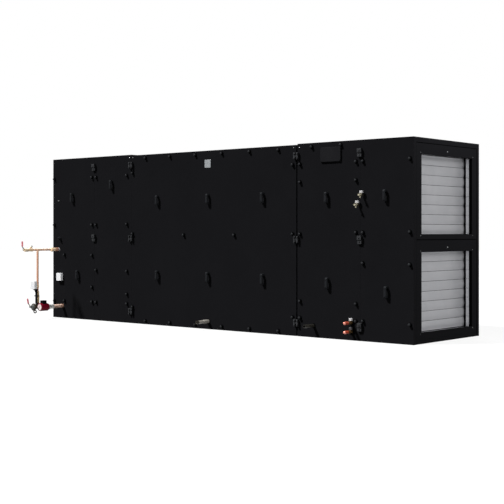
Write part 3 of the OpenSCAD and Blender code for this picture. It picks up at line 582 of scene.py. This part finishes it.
def addKnob(bm, place, r, h):
    r, h = r * knobLook["grow"], h + knobLook["rise"]
    part = turnedPart([(r, 0), (r, 3.2), (r - 1, 4.2), (r * 0.86, 5), (r * 0.86, h - 10), (r * 0.8, h - 6.5),
                       (r * 0.66, h - 3.4), (r * 0.45, h - 1.2), (r * 0.22, h - 0.2), (0, h)], knobLook["steps"])
    grip = [f for f in part.faces if abs(f.calc_center_median().z - (h - 5) / 2 * mm) < 0.5 * mm]
    grip.sort(key=lambda f: math.atan2(f.calc_center_median().y, f.calc_center_median().x))
    bmesh.ops.inset_individual(part, faces=grip[::len(grip) // knobLook["flutes"]], use_even_offset=True,
                               thickness=knobLook["fluteEdge"] * mm, depth=-knobLook["fluteDeep"] * mm)
    paint(part, lambda at, out: 0 if at.z > (h - knobLook["front"]) * mm else 1)  # the dome is a painted highlight, the grip below it black as painted shade
    addPart(bm, part, place, None)
    # a real rubber washer, made wide so that its black also stands as painted shadow round the knob
    wide = r + knobLook["washer"]
    addTurned(bm, [(wide, 0), (wide, 1.4), (wide - 1, 2.2)], place, 1, knobLook["steps"])


knobs = bmesh.new()
for low, high in solidBoxes("panel_knobs"):
    r, h = roundSize(low, high)
    place = seatOf(low, high)
    if r < knobLook["glandFrom"]:
        addKnob(knobs, place, r, h)
    else:
        addHex(knobs, r * 1.72, 0, 14, 1.4, place, 2)
        addTurned(knobs, [(r * 0.84, 13), (r * 0.84, 16), (r * 0.78, 18), (r * 0.78, h - 12), (r * 0.62, h - 3),
                          (r * 0.5, h), (r * 0.34, h), (r * 0.3, h - 6)], place, 2)
addKnob(knobs, servicePlace(knobLook["latch"][0], 0, knobLook["latch"][1]), knobLook["latchR"], knobLook["latchH"])
finishPiece(knobs, "fixing_knobs", "black_moulding", [rubbedNylon, gasketRubber, blackNylon], "panel_knobs")

# seam clamps and section brackets: folded steel with their bolts, greyer on fronts and tops as painted light, black on
# the sides as painted shade
clampLook = {"edge": 1.6, "bolt": 13, "lowBolt": 10, "lowShare": 0.7}
clamps = paintFronts(soften(cadCopy("seam_clamps"), clampLook["edge"]))
for low, high in solidBoxes("seam_clamps"):
    middle = (low + high) / 2
    addBolt(clamps, aim((middle.x, low.y, (middle.z + high.z) / 2), outwards), clampLook["bolt"], 0)
    lowFace = high.y + (low.y - high.y) * clampLook["lowShare"]
    addBolt(clamps, aim((middle.x, lowFace, (middle.z + low.z) / 2), outwards), clampLook["lowBolt"], 0)
finishPiece(clamps, "seam_clamp_blocks", "black_bracket", [bracketPaint, powderCoat], "seam_clamps")
bracketLook = {"edge": 1.6, "bolt": 12, "boltIn": 15, "lug": 22}
brackets = paintFronts(soften(cadCopy("section_brackets"), bracketLook["edge"]))
for low, high in solidBoxes("section_brackets"):
    for x in (low.x + bracketLook["lug"] / 2 * mm, high.x - bracketLook["lug"] / 2 * mm):
        for z in (low.z + bracketLook["boltIn"] * mm, high.z - bracketLook["boltIn"] * mm):
            addBolt(brackets, aim((x, low.y, z), outwards), bracketLook["bolt"], 0)
finishPiece(brackets, "section_bracket_lugs", "black_bracket", [bracketPaint, powderCoat], "section_brackets")
print("handles, knobs, clamps and brackets done")

# control cover: a deep-drawn lid over a flange, its sides black as painted shade, held by four screws
coverLook = {"flange": 4, "flangeEdge": 1, "corner": 12, "inset": 5, "edge": 4, "screw": 9, "screwIn": 16, "sunk": 0.6}
wide, tall, deep, middle = serviceFrame("control_cover")
cover = bmesh.new()
addPart(cover, roundedBlock(wide, tall, coverLook["flange"], coverLook["corner"], coverLook["flangeEdge"]), middle)
addPart(cover, roundedBlock(wide - 2 * coverLook["inset"], tall - 2 * coverLook["inset"], deep, coverLook["corner"],
                            coverLook["edge"]), middle)
paintFronts(cover)
addCornerScrews(cover, middle, wide, tall, deep, coverLook, 0)
finishPiece(cover, "control_cover_lid", "casing_paint", [coverCoat, gasketRubber], "control_cover")


# two rounded halves with a shadow gap between them, over a smaller core
def addHalves(bm, wide, tall, deep, place, split, look):
    front = split + look["gap"]
    addPart(bm, roundedBlock(wide, tall, split, look["corner"], look["backEdge"]), place)
    addPart(bm, roundedBlock(wide - look["coreIn"], tall - look["coreIn"], split + look["coreUp"],
                             look["corner"] - 2), place)
    addPart(bm, roundedBlock(wide, tall, deep - front, look["corner"], look["edge"]),
            place @ Matrix.Translation((0, 0, front * mm)))


# junction box: base, lid with a shadow gap, four lid screws
boxLook = {"base": 24, "gap": 1.6, "corner": 7, "coreIn": 6, "coreUp": 2.6, "backEdge": 1, "edge": 2.5, "screw": 8,
           "screwIn": 10, "sunk": 2.4}
wide, tall, deep, middle = serviceFrame("junction_box")
boxPiece = bmesh.new()
addHalves(boxPiece, wide, tall, deep, middle, boxLook["base"], boxLook)
addCornerScrews(boxPiece, middle, wide, tall, deep, boxLook, 1)
finishPiece(boxPiece, "junction_box_housing", "white_housing", [whiteAbs, zincSteel], "junction_box")
print("cover and junction box done")

# drains: open tubes with a rolled rim, sealed to the panel by a rubber collar; the pale one has a socket at its root
drainLook = {"wall": 3, "over": 5, "socket": 80, "collar": 9, "collarThick": 4, "stain": 34, "steps": 40}
for node, slotName, finish, mouth in (("middle_drain", "drain_pvc", drainPvc, stainedPvc),
                                      ("right_drain", "drain_steel", tubePaint, tubePaint)):
    low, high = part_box(node)
    outer, h = roundSize(low, high)
    r, root, socket = outer, [(outer, 0)], drainLook["socket"]
    if node == "middle_drain":
        r = outer - drainLook["over"]
        root = [(r, socket), (outer - 1.5, socket), (outer, socket - 1.5), (outer, socket - 12),
                (outer - 1.2, socket - 14), (outer - 1.2, 0)]
    inner, stain = r - drainLook["wall"], h - drainLook["stain"]
    tube = turnedPart([(inner, 3), (inner, h - 1), (inner + 0.8, h), (r - 0.8, h), (r, h - 1), (r, stain), *root],
                      drainLook["steps"])
    paint(tube, lambda at, out: 2 if at.z > stain * mm else 0)
    drain = bmesh.new()
    addPart(drain, tube, seatOf(low, high), None)
    ring = outer + drainLook["collar"]
    addTurned(drain, [(ring, 0), (ring, 2), (ring - 2, drainLook["collarThick"]), (outer, 5)], seatOf(low, high), 1,
              drainLook["steps"])
    finishPiece(drain, node + "_pipe", slotName, [finish, gasketRubber, mouth], node)

# cooling coil ends: spun copper with a rubber rosette and a vent boss
coilLook = {"rosette": 12, "thin": 9, "domeFrom": 13, "brownTo": 0.5, "bossOut": 18, "steps": 40}
coil = bmesh.new()
for low, high in solidBoxes("coil_pipe_ends"):
    r, h = roundSize(low, high)
    x, z = (low.x + high.x) / 2, low.z + r * mm
    place = aim((x, high.y, z), outwards)
    pipe, brownTo, domeFrom = r - coilLook["thin"], h * coilLook["brownTo"], h - coilLook["domeFrom"]
    spun = turnedPart([(pipe + 1, 0), (pipe + 1, 30), (pipe, 32), (pipe, brownTo), (pipe, h - 14), (pipe - 1, h - 7),
                       (pipe - 5, h - 2.5), (pipe - 11, h - 0.4), (0, h)], coilLook["steps"])
    paint(spun, lambda at, out: 0 if at.z / mm > domeFrom else 3 if at.z / mm > brownTo else 4)
    addPart(coil, spun, place, None)
    ring = r + coilLook["rosette"]
    addTurned(coil, [(ring, 0), (ring, 2), (ring - 2, 4), (r + 1, 6)], place, 1, coilLook["steps"])
    addTurned(coil, [(8, r - 6), (8, r - 0.5), (6, r + 1), (6, r + 4.2)],
              Matrix.Translation((x, high.y - coilLook["bossOut"] * mm, z)), 2, 24)
finishPiece(coil, "coil_ends", "coil_copper", [coilCopper, gasketRubber, machinedBrass, flamedCopper, brownCopper],
            "coil_pipe_ends")

# cocks: a dark shank and hexagon at the panel, a round body with a spout and an end nut, a stem for the cap
cockLook = {"spoutLong": 29, "spoutOut": 48, "capOut": 26, "stemTop": 28, "r": 11, "long": 76}
r, long, top, tip = (cockLook[key] for key in ("r", "long", "stemTop", "spoutLong"))
cocks = bmesh.new()
for low, high in solidBoxes("coil_cocks"):
    x, z = (low.x + high.x) / 2, low.z + tip * mm
    place = aim((x, high.y, z), outwards)
    addTurned(cocks, [(r, 0), (r, 2), (r - 3, 3), (r - 3, 19)], place, 1, 28)
    addHex(cocks, r * 1.9, 18, 34, 1, place, 1)
    addTurned(cocks, [(r - 2, 33), (r, 36), (r, 60), (r - 2.5, 63)], place, 0, 28)
    addHex(cocks, r * 1.7, 62, long, 1, place)
    addTurned(cocks, [(6, 6), (6, tip - 8), (7, tip - 6), (7, tip - 1), (6, tip), (4.5, tip), (4.5, tip - 4)],
              aim((x, high.y - cockLook["spoutOut"] * mm, z), (0, 0, -1)), 0, 24)
    addTurned(cocks, [(7, 8), (7, 15), (5, 16), (5, top)], aim((x, high.y - cockLook["capOut"] * mm, z), (0, 0, 1)),
              0, 24)
finishPiece(cocks, "vent_cocks", "cock_brass", [castBrass, castBronze], "coil_cocks")

# winged caps: each a little wider than its solid, with a skirt down over its stem; the lowest is darkened as painted
# shade
capLook = {"round": 3, "steps": 3, "spread": 1.15, "skirt": 9}
caps = cadCopy("cock_caps")
capBoxes = solidBoxes("cock_caps")
for low, high in capBoxes:
    middle = (low + high) / 2
    for vert in caps.verts:
        if all(a - weld < c < b + weld for a, c, b in zip(low, vert.co, high)):
            x, y = ((vert.co[k] - middle[k]) * capLook["spread"] + middle[k] for k in (0, 1))
            vert.co = (x, y, vert.co.z - (capLook["skirt"] * mm if vert.co.z < middle.z else 0))
soften(caps, capLook["round"], capLook["steps"], 50)
lowest = min(high.z for low, high in capBoxes)
# the lowest cap takes the darker finish, painted shade
paint(caps, lambda at, out: 1 if at.z < lowest else 0)
finishPiece(caps, "winged_caps", "white_cap", [whiteCap, greyCap], "cock_caps")
print("drains, coil ends and cocks done")


# heating set: axes and the distances in front of the panels, in mm, come from the CAD
def outsOf(low, high):
    return (frontFace - high.y) / mm, (frontFace - low.y) / mm


pivots = {joint["child"]: Vector(joint["pos_m"]) for joint in frame["joints"]}
lineX = sum(v.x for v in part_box("bypass_pipe")) / 2
bypassY = sum(v.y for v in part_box("bypass_pipe")) / 2
pumpX = sum(v.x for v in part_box("pump_motor")) / 2
returnZ = pivots["return_lever"].z
flowZ = pivots["flow_lever"].z
returnLine = aim((lineX, frontFace, returnZ), outwards)
flowLine = aim((lineX, frontFace, flowZ), outwards)
pumpLine = aim((pumpX, frontFace, flowZ), outwards)
bypassLine = Matrix.Translation((lineX, bypassY, 0))
tee = (frontFace - bypassY) / mm
pumpUnion, bypassUnion, returnUnion = sorted(solidBoxes("pipe_unions"), key=lambda box: box[0].z)
unionFrom, unionTo = outsOf(*returnUnion)
balanceFrom = outsOf(*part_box("return_pipe"))[1]
valveFrom, valveTo = outsOf(*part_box("return_ball_valve"))
stubTo, voluteFrom = outsOf(*pumpUnion)
motorFrom, motorTo = outsOf(*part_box("pump_motor"))
discharge = outsOf(*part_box("pump_volute"))[1]
portFrom, portTo = outsOf(*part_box("mixing_valve"))
flowTo = outsOf(*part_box("flow_ball_valve"))[1]
flowHigh = flowZ / mm
nutLow, nutHigh = (v.z / mm for v in bypassUnion)
bypassLow, bypassHigh = (v.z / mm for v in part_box("bypass_pipe"))

# copper tube with capillary fittings, each with a rolled rim
pipeLook = {"r": 14, "fitting": 15.6, "rim": 16.4, "coilStub": 22, "steps": 40}
r, fit, rim, stub = (pipeLook[key] for key in ("r", "fitting", "rim", "coilStub"))
returnRun = bmesh.new()
addTurned(returnRun, [(r, unionTo - 8), (r, tee - 33), (fit, tee - 32), (rim, tee - 31), (rim, tee - 27),
                      (fit, tee - 25), (fit, tee + 25), (rim, tee + 27), (rim, tee + 31), (fit, tee + 32),
                      (r, tee + 33), (r, balanceFrom + 2)], returnLine)
addRod(returnRun, stub, 0, unionFrom + 4, returnLine, 1)
addTurned(returnRun, [(fit, 4), (fit, 25), (rim, 27), (rim, 31), (fit, 32), (r, 32.5)],
          aim((lineX, bypassY, returnZ), (0, 0, -1)))
returnPiece = finishPiece(returnRun, "return_tube", "pipe_copper", [rubbedCopper, tinnedCopper], "return_pipe")
bypassRun = bmesh.new()
addRod(bypassRun, r, nutHigh - 2, bypassHigh, bypassLine)
addRod(bypassRun, r, bypassLow - 2, nutLow + 4, bypassLine)
addTurned(bypassRun, [(rim, nutHigh), (rim, nutHigh + 4), (fit, nutHigh + 6), (fit, nutHigh + 22),
                      (rim, nutHigh + 24), (rim, nutHigh + 28), (fit, nutHigh + 29), (r, nutHigh + 29.5)], bypassLine)
finishPiece(bypassRun, "bypass_tube", "pipe_copper", [pipeCopper], "bypass_pipe")
flowRun = bmesh.new()
addTurned(flowRun, [(stub, 0), (stub, stubTo - 34), (stub + 1.2, stubTo - 33), (stub + 2, stubTo - 31),
                    (stub + 2, stubTo - 26), (stub + 1.2, stubTo - 24), (stub + 1.2, stubTo + 2)], pumpLine, 1,
          pipeLook["steps"])
addRod(flowRun, r, discharge - 6, portFrom + 4, flowLine)
finishPiece(flowRun, "flow_tubes", "pipe_copper", [pipeCopper, brazedCopper], "flow_pipes")

# unions: sleeve, nut and tail; the pump's own union is plated iron
unionLook = {"sleeve": 23, "waist": 21.5, "nut": 47, "nutLong": 30, "tail": 18, "bypassNut": 36, "bypassTail": 17,
             "pumpNut": 53, "pumpTail": 25, "browned": 43}
sleeve, waist, tail = (unionLook[key] for key in ("sleeve", "waist", "tail"))
nutFrom = unionTo - 4 - unionLook["nutLong"]
part = turnedPart([(sleeve - 3, unionFrom - 2), (sleeve, unionFrom + 2), (sleeve, unionFrom + 38),
                   (waist, unionFrom + 40), (waist, unionFrom + 46), (sleeve, unionFrom + 48), (sleeve, nutFrom - 4),
                   (waist, nutFrom)])
paint(part, lambda at, out: 2 if at.z < (unionFrom + unionLook["browned"]) * mm else 0)
unions = bmesh.new()
addPart(unions, part, returnLine, None)
addHex(unions, unionLook["nut"], nutFrom, unionTo - 4, 1.6, returnLine)
addTurned(unions, [(tail, unionTo - 4), (tail, unionTo + 1), (15, unionTo + 3)], returnLine)
tail = unionLook["bypassTail"]
addHex(unions, unionLook["bypassNut"], nutLow + 7, nutHigh - 4, 1.4, bypassLine)
addTurned(unions, [(tail - 1, nutLow - 2), (tail + 1, nutLow + 1), (tail + 1, nutLow + 7)], bypassLine)
addRod(unions, tail, nutHigh - 4, nutHigh + 1, bypassLine)
addHex(unions, unionLook["pumpNut"], stubTo, voluteFrom - 12, 1.6, pumpLine, 1, 8)
addRod(unions, unionLook["pumpTail"], voluteFrom - 12, voluteFrom, pumpLine, 1)
unionPiece = finishPiece(unions, "union_nuts", "union_brass", [brightBrass, nickelPlate, heatedCopper], "pipe_unions")
for piece in (returnPiece, unionPiece):  # keeps a long streak off the panels
    piece.visible_shadow = False

# balancing valve: hexagon ends, round body, a leaning spindle with a grey cap
balanceLook = {"hex": 40, "lean": 38, "spindleFrom": 56, "spindle": 46, "cap": 22}
balance = bmesh.new()
addHex(balance, balanceLook["hex"], balanceFrom, balanceFrom + 18, 1.4, returnLine)
addTurned(balance, [(17, balanceFrom + 18), (20, balanceFrom + 22), (20, valveFrom - 20), (17, valveFrom - 16)],
          returnLine)
addHex(balance, balanceLook["hex"], valveFrom - 16, valveFrom, 1.4, returnLine)
tilt = math.radians(balanceLook["lean"])
lean = aim((lineX, frontFace - (balanceFrom + balanceLook["spindleFrom"]) * mm, returnZ),
           (0, math.sin(tilt), math.cos(tilt)))
neck = balanceLook["spindle"]
top = neck + balanceLook["cap"]
addTurned(balance, [(14.5, 0), (14.5, neck - 22), (12.5, neck - 19), (12.5, neck - 14), (15.5, neck - 12),
                    (15.5, neck - 3), (13, neck)], lean)
addTurned(balance, [(14, neck), (16.5, neck + 2), (16.5, top - 8), (14.5, top - 2), (9, top)], lean, 1)
finishPiece(balance, "balancing_valve_body", "union_brass", [brightBrass, nickelPlate], "balancing_valve")


# a stem's packing: a boss, a neck and a gland nut along the stem, up to the valve's reach
def addPacking(valve, pivot, low, boss):
    stem = aim((lineX, pivot.y, pivot.z), (-1, 0, 0))
    reach = (lineX - low.x) / mm
    addTurned(valve, [(20, boss - 16), (20, boss - 2), (13, boss + 2), (13, reach - 12), (11, reach - 10)], stem)
    addHex(valve, 19, reach - 11, reach, 0.8, stem)


# return ball valve: hexagon inlet, a ball bulge and an open outlet
ballLook = {"hex": 42, "boss": 24, "bore": 12, "boreDeep": 24}
start, end, bore = valveFrom, valveTo, ballLook["bore"]
ballValve = bmesh.new()
addHex(ballValve, ballLook["hex"], start, start + 11, 1.4, returnLine)
addTurned(ballValve, [(18, start + 11), (21, start + 14), (23.4, start + 19), (24, start + 25), (23.4, end - 17),
                      (21, end - 12), (20, end - 11), (22.5, end - 9), (22.5, end - 2), (21, end), (bore + 1, end),
                      (bore, end - 1), (bore, end - ballLook["boreDeep"])], returnLine)
addPacking(ballValve, pivots["return_lever"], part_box("return_ball_valve")[0], ballLook["boss"])
finishPiece(ballValve, "return_valve_body", "valve_plated", [thinPlate], "return_ball_valve")

# flow ball valve: a heavy ball body between two collars, black over the inner collar and the ball, partly the bronze
# and partly painted shade; with a pull ring on a lug underneath
flowLook = {"collar": 24, "boss": 44, "ring": 16.5, "wire": 7, "wireSteps": 12, "ringTurn": 25, "ringDrop": 58,
            "ringOut": 9, "lug": 5.5, "lugTop": 20, "shadedTo": 46.5}
start, end, collar = portTo, flowTo, flowLook["collar"]
part = turnedPart([(collar - 1, start), (collar, start + 1), (collar, start + 14), (34, start + 16), (42, start + 20),
                   (45, start + 24), (46, start + 28), (46, start + 34), (45, start + 38), (42, start + 42),
                   (34, start + 46), (collar, start + 48), (collar, end - 1), (collar - 1, end), (bore + 1, end),
                   (bore, end - 1), (bore, end - ballLook["boreDeep"])], 44)
# faces nearer the panel than shadedTo take the black bronze, partly as painted shade
paint(part, lambda at, out: 1 if at.z < (start + flowLook["shadedTo"]) * mm else 0)
flowBody = bmesh.new()
addPart(flowBody, part, flowLine, None)
addPacking(flowBody, pivots["flow_lever"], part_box("flow_ball_valve")[0], flowLook["boss"])
ring, wire, lug = flowLook["ring"], flowLook["wire"], flowLook["lug"]
ringPlace = Matrix.Translation((lineX, frontFace - (start + flowLook["ringOut"]) * mm,
                                flowZ - flowLook["ringDrop"] * mm))
turns = [k * 2 * math.pi / flowLook["wireSteps"] for k in range(flowLook["wireSteps"] + 1)]
part = turnedPart([(ring + wire * math.cos(turn), wire * math.sin(turn)) for turn in turns], 28, False)
addPart(flowBody, part, ringPlace @ Matrix.Rotation(math.radians(flowLook["ringTurn"]), 4, "Z")
        @ Matrix.Rotation(quarter, 4, "X"), 1)
lugTop = flowLook["ringDrop"] - flowLook["lugTop"]
addTurned(flowBody, [(0, ring - 5), (lug - 2, ring - 4.5), (lug, ring - 1), (lug, lugTop)], ringPlace, 0, 20)
finishPiece(flowBody, "flow_valve_body", "valve_iron", [castIron, castBronze], "flow_ball_valve")

# levers: a plated crank with a vinyl-dipped grip, on its stem
leverLook = {"edge": 1.2, "dipFrom": 40, "nut": 13, "nutHigh": 6, "thick": 5}
for node in ("return_lever", "flow_lever"):
    pivot = pivots[node]
    lever = soften(cadCopy(node), leverLook["edge"], 2, 50)
    paint(lever, lambda at, out: 0 if math.hypot(*(at - pivot).yz) > leverLook["dipFrom"] * mm else 1)
    addHex(lever, leverLook["nut"], 0, leverLook["nutHigh"], 0.7,
           aim(pivot - Vector((leverLook["thick"] * mm, 0, 0)), (-1, 0, 0)), 1)
    finishPiece(lever, node + "_arm", "lever_red", [redVinyl, zincSteel], node, node)

# mixing valve: a blackened cross with hexagon ports, and a brass neck under the yoke
mixLook = {"split": 54, "hex": 40, "hexLong": 13, "neckHex": 39, "yokeAt": 290, "port": 19}
yokeAt, mixTop = mixLook["yokeAt"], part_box("mixing_valve")[1].z / mm
split = flowHigh + mixLook["split"]
mixing = bmesh.new()
addTurned(mixing, [(17, flowHigh - 24), (22, flowHigh - 20), (24, flowHigh - 12), (24, split - 4), (22, split)],
          bypassLine)
addRod(mixing, mixLook["port"], portFrom + 4, portTo - 4, flowLine)
addHex(mixing, mixLook["hex"], portFrom, portFrom + mixLook["hexLong"], 1.2, flowLine)
addHex(mixing, mixLook["hex"], portTo - mixLook["hexLong"], portTo, 1.2, flowLine)
addTurned(mixing, [(22, split), (22, yokeAt - 28), (24, yokeAt - 24), (24, yokeAt), (21, yokeAt), (21, mixTop - 22),
                   (19, mixTop - 19), (19, mixTop)], bypassLine, 1)
addHex(mixing, mixLook["neckHex"], mixTop - 18, mixTop - 2, 1.2, bypassLine, 1)
finishPiece(mixing, "mixing_valve_body", "mixing_bronze", [castBronze, machinedBrass], "mixing_valve")

# yoke: a moulded post and shelf, with a gusset between them and two bolts
yokeLook = {"edge": 1.5, "bolt": 10, "postFront": 42, "postAside": 20, "boltRows": (250, 340), "shelf": 12, "sunk": 1,
            "gusset": 40, "gussetWide": 26, "gussetIn": 5}
yoke = soften(cadCopy("valve_yoke"), yokeLook["edge"])
low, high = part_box("valve_yoke")
postAt = bypassY - (yokeLook["postFront"] - yokeLook["sunk"]) * mm
under = high.z - (yokeLook["shelf"] - yokeLook["sunk"]) * mm
edge = lineX + (yokeLook["postAside"] - yokeLook["gussetWide"] / 2) * mm
gusset = bmesh.new()
corners = [gusset.verts.new((edge, y, z)) for y, z in ((postAt, under), (low.y + yokeLook["gussetIn"] * mm, under),
                                                       (postAt, under - yokeLook["gusset"] * mm))]
side = bmesh.ops.extrude_face_region(gusset, geom=[gusset.faces.new(corners)])
bmesh.ops.translate(gusset, vec=(yokeLook["gussetWide"] * mm, 0, 0),
                    verts=[v for v in side["geom"] if isinstance(v, bmesh.types.BMVert)])
bmesh.ops.recalc_face_normals(gusset, faces=gusset.faces)
addPart(yoke, soften(gusset, yokeLook["edge"]))
for z in yokeLook["boltRows"]:
    spot = (lineX + yokeLook["postAside"] * mm, bypassY - yokeLook["postFront"] * mm, z * mm)
    addBolt(yoke, aim(spot, outwards), yokeLook["bolt"], 0)
finishPiece(yoke, "actuator_yoke", "black_bracket", [yokeNylon], "valve_yoke")

# actuator: a moulded housing in two halves with a fine shadow line
actuatorLook = {"corner": 8, "gap": 2, "back": 0.42, "coreIn": 5, "coreUp": 5, "backEdge": 1.5, "edge": 3}
wide, tall, deep, middle = serviceFrame("valve_actuator")
actuator = bmesh.new()
addHalves(actuator, wide, tall, deep, middle, deep * actuatorLook["back"], actuatorLook)
finishPiece(actuator, "actuator_housing", "white_housing", [whiteAbs], "valve_actuator")

# pump: a cast casing with a bolted flange, a ribbed motor with a blank end disc, a terminal box with its lid
pumpLook = {"drum": 34, "bolts": 6, "bolt": 9, "boltHigh": 6, "boltRing": 40, "boltTurn": 0.5, "disc": 38, "hub": 12,
            "ribs": 28, "ribAt": 48.6, "neck": 20}
a, b = voluteFrom, motorFrom
drum, neck = pumpLook["drum"], pumpLook["neck"]
volute = bmesh.new()
addTurned(volute, [(drum - 8, a), (drum - 6, a + 3), (drum - 2, a + 8), (drum, a + 14), (drum, b - 10),
                   (drum - 2, b - 8), (drum, b - 6), (drum, b)], pumpLine, 0, 44)
neckAt = (a + b) / 2
span = (pumpX - lineX) / mm
addTurned(volute, [(neck, 0), (neck, span), (neck - 2, span + 8), (neck - 8, span + 15), (0, span + 18)],
          aim((pumpX, frontFace - neckAt * mm, flowZ), (-1, 0, 0)))
addTurned(volute, [(neck - 8, neckAt - 18), (neck - 2, neckAt - 12), (neck, neckAt), (neck, discharge - 13),
                   (neck + 4, discharge - 11), (neck + 4, discharge - 2), (neck + 2, discharge)], flowLine)
for k in range(pumpLook["bolts"]):
    spot = pumpLine @ Matrix.Rotation(k * 2 * math.pi / pumpLook["bolts"] + pumpLook["boltTurn"], 4, "Z")
    spot = spot @ Matrix.Translation((pumpLook["boltRing"] * mm, 0, b * mm)) @ Matrix.Rotation(math.pi, 4, "X")
    addHex(volute, pumpLook["bolt"], 0, pumpLook["boltHigh"], 0.6, spot, 1)
finishPiece(volute, "pump_casing", "valve_iron", [nickelPlate, zincSteel], "pump_volute")

a, b = motorFrom, motorTo
disc, hub = pumpLook["disc"], pumpLook["hub"]
motor = bmesh.new()
addTurned(motor, [(46, a), (46, a + 8), (50, a + 10), (50, a + 13), (48, a + 15), (48, b - 30), (50, b - 28),
                  (50, b - 12), (48, b - 6), (44, b - 2.5), (disc + 0.6, b - 1.6), (disc - 1, b - 2.4)], pumpLine, 0,
          48)
for k in range(pumpLook["ribs"]):  # cooling ribs along the motor
    addPart(motor, roundedBlock(2.4, 2.6, b - a - 44, 0.8, 0.5),
            pumpLine @ Matrix.Rotation(k * 2 * math.pi / pumpLook["ribs"], 4, "Z")
            @ Matrix.Translation((pumpLook["ribAt"] * mm, 0, (a + 14) * mm)))
addTurned(motor, [(disc, b - 3), (disc, b - 0.8), (disc - 1, b), (hub + 2, b), (hub, b - 1.4)], pumpLine, 1, 48)
addTurned(motor, [(hub - 4, b - 1.6), (hub - 4, b - 0.8), (hub - 5, b - 0.3), (4, b - 0.3), (3.4, b - 1.2)], pumpLine,
          2, 28)
finishPiece(motor, "pump_motor_shell", "motor_red", [redEnamel, discAbs, nickelPlate], "pump_motor")

terminalLook = {"edge": 2.2, "lid": 1.2, "lidIn": 4, "lidCorner": 4, "lidEdge": 0.4, "screw": 7, "screwIn": 9,
                "sunk": 1.6}
terminal = soften(cadCopy("pump_terminal_box"), terminalLook["edge"], 2, 40)
low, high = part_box("pump_terminal_box")
wide, long = (high.x - low.x) / mm, (high.y - low.y) / mm
lid = Matrix.Translation(((low.x + high.x) / 2, (low.y + high.y) / 2, high.z - terminalLook["lid"] * mm))
addPart(terminal, roundedBlock(wide - 2 * terminalLook["lidIn"], long - 2 * terminalLook["lidIn"],
                               terminalLook["lid"], terminalLook["lidCorner"], terminalLook["lidEdge"]), lid)
addCornerScrews(terminal, lid, wide, long, 0, terminalLook, 1)
finishPiece(terminal, "motor_terminal_box", "black_moulding", [yokeNylon, zincSteel], "pump_terminal_box")
print("heating set done")

# a bare plate held by four rivets, and a test plug
plateLook = {"x": 2746, "z": 1891, "wide": 92, "tall": 92, "thick": 1.6, "corner": 5, "edge": 0.4, "screw": 5,
             "screwIn": 7, "sunk": 0.2}
wide, tall = plateLook["wide"], plateLook["tall"]
place = servicePlace(plateLook["x"], 0, plateLook["z"])
plate = bmesh.new()
addPart(plate, roundedBlock(wide, tall, plateLook["thick"], plateLook["corner"], plateLook["edge"]), place)
addCornerScrews(plate, place, wide, tall, plateLook["thick"], plateLook, 1)
finishPiece(plate, "bare_plate", "white_housing", [plateAluminium, zincSteel])
plugLook = {"x": 112, "z": 1511}
plug = bmesh.new()
addTurned(plug, [(11, 0), (11, 3), (9.5, 5), (7, 6), (6, 9), (0, 10)], servicePlace(plugLook["x"], 0, plugLook["z"]),
          0, 28)
finishPiece(plug, "test_plug", "white_cap", [greyPlug])


# even places along an edge, in metres
def rowSpots(low, high, inset, pitch):
    count = max(2, round((high - low - 2 * inset) / pitch) + 1)
    return [low + inset + (high - low - 2 * inset) * k / (count - 1) for k in range(count)]


# screws: two at each section joint, one above each opening, small ones round the openings, black ones round the back
screwLook = {"joint": 11, "jointAt": (1446, 1509, 3997, 4075), "jointZ": 2012, "end": 13, "endUp": 2, "corner": 8,
             "cornerIn": (23, 30), "sunk": 5, "back": 12, "backIn": 28, "backPitch": 300}
screws = bmesh.new()
for x in screwLook["jointAt"]:
    addScrew(screws, servicePlace(x, 0, screwLook["jointZ"]), screwLook["joint"], 0)
sideIn, rowIn = (v * mm for v in screwLook["cornerIn"])
for side in (-1, 1):
    face = side * (rightEnd - screwLook["sunk"] * mm)
    for node in ("upper_damper_frame", "lower_damper_frame"):
        low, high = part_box(node)
        addScrew(screws, aim((face, 0, high.z + screwLook["endUp"] * mm), (side, 0, 0)), screwLook["end"], 0)
        for y in (low.y + sideIn, high.y - sideIn):
            for z in (low.z + rowIn, high.z - rowIn):
                addScrew(screws, aim((face, y, z), (side, 0, 0)), screwLook["corner"], 0)
for low, high in solidBoxes("back_panels"):
    rows, columns = (rowSpots(low[k], high[k], screwLook["backIn"] * mm, screwLook["backPitch"] * mm) for k in (2, 0))
    spots = {(x, z) for x in columns for z in (rows[0], rows[-1])}
    spots |= {(x, z) for x in (columns[0], columns[-1]) for z in rows}
    for x, z in sorted(spots):
        addScrew(screws, aim((x, high.y - screwLook["sunk"] * mm, z), (0, 1, 0)), screwLook["back"], 1)
finishPiece(screws, "panel_screws", "valve_plated", [zincSteel, bracketPaint])
print("plate, plug and screws done")
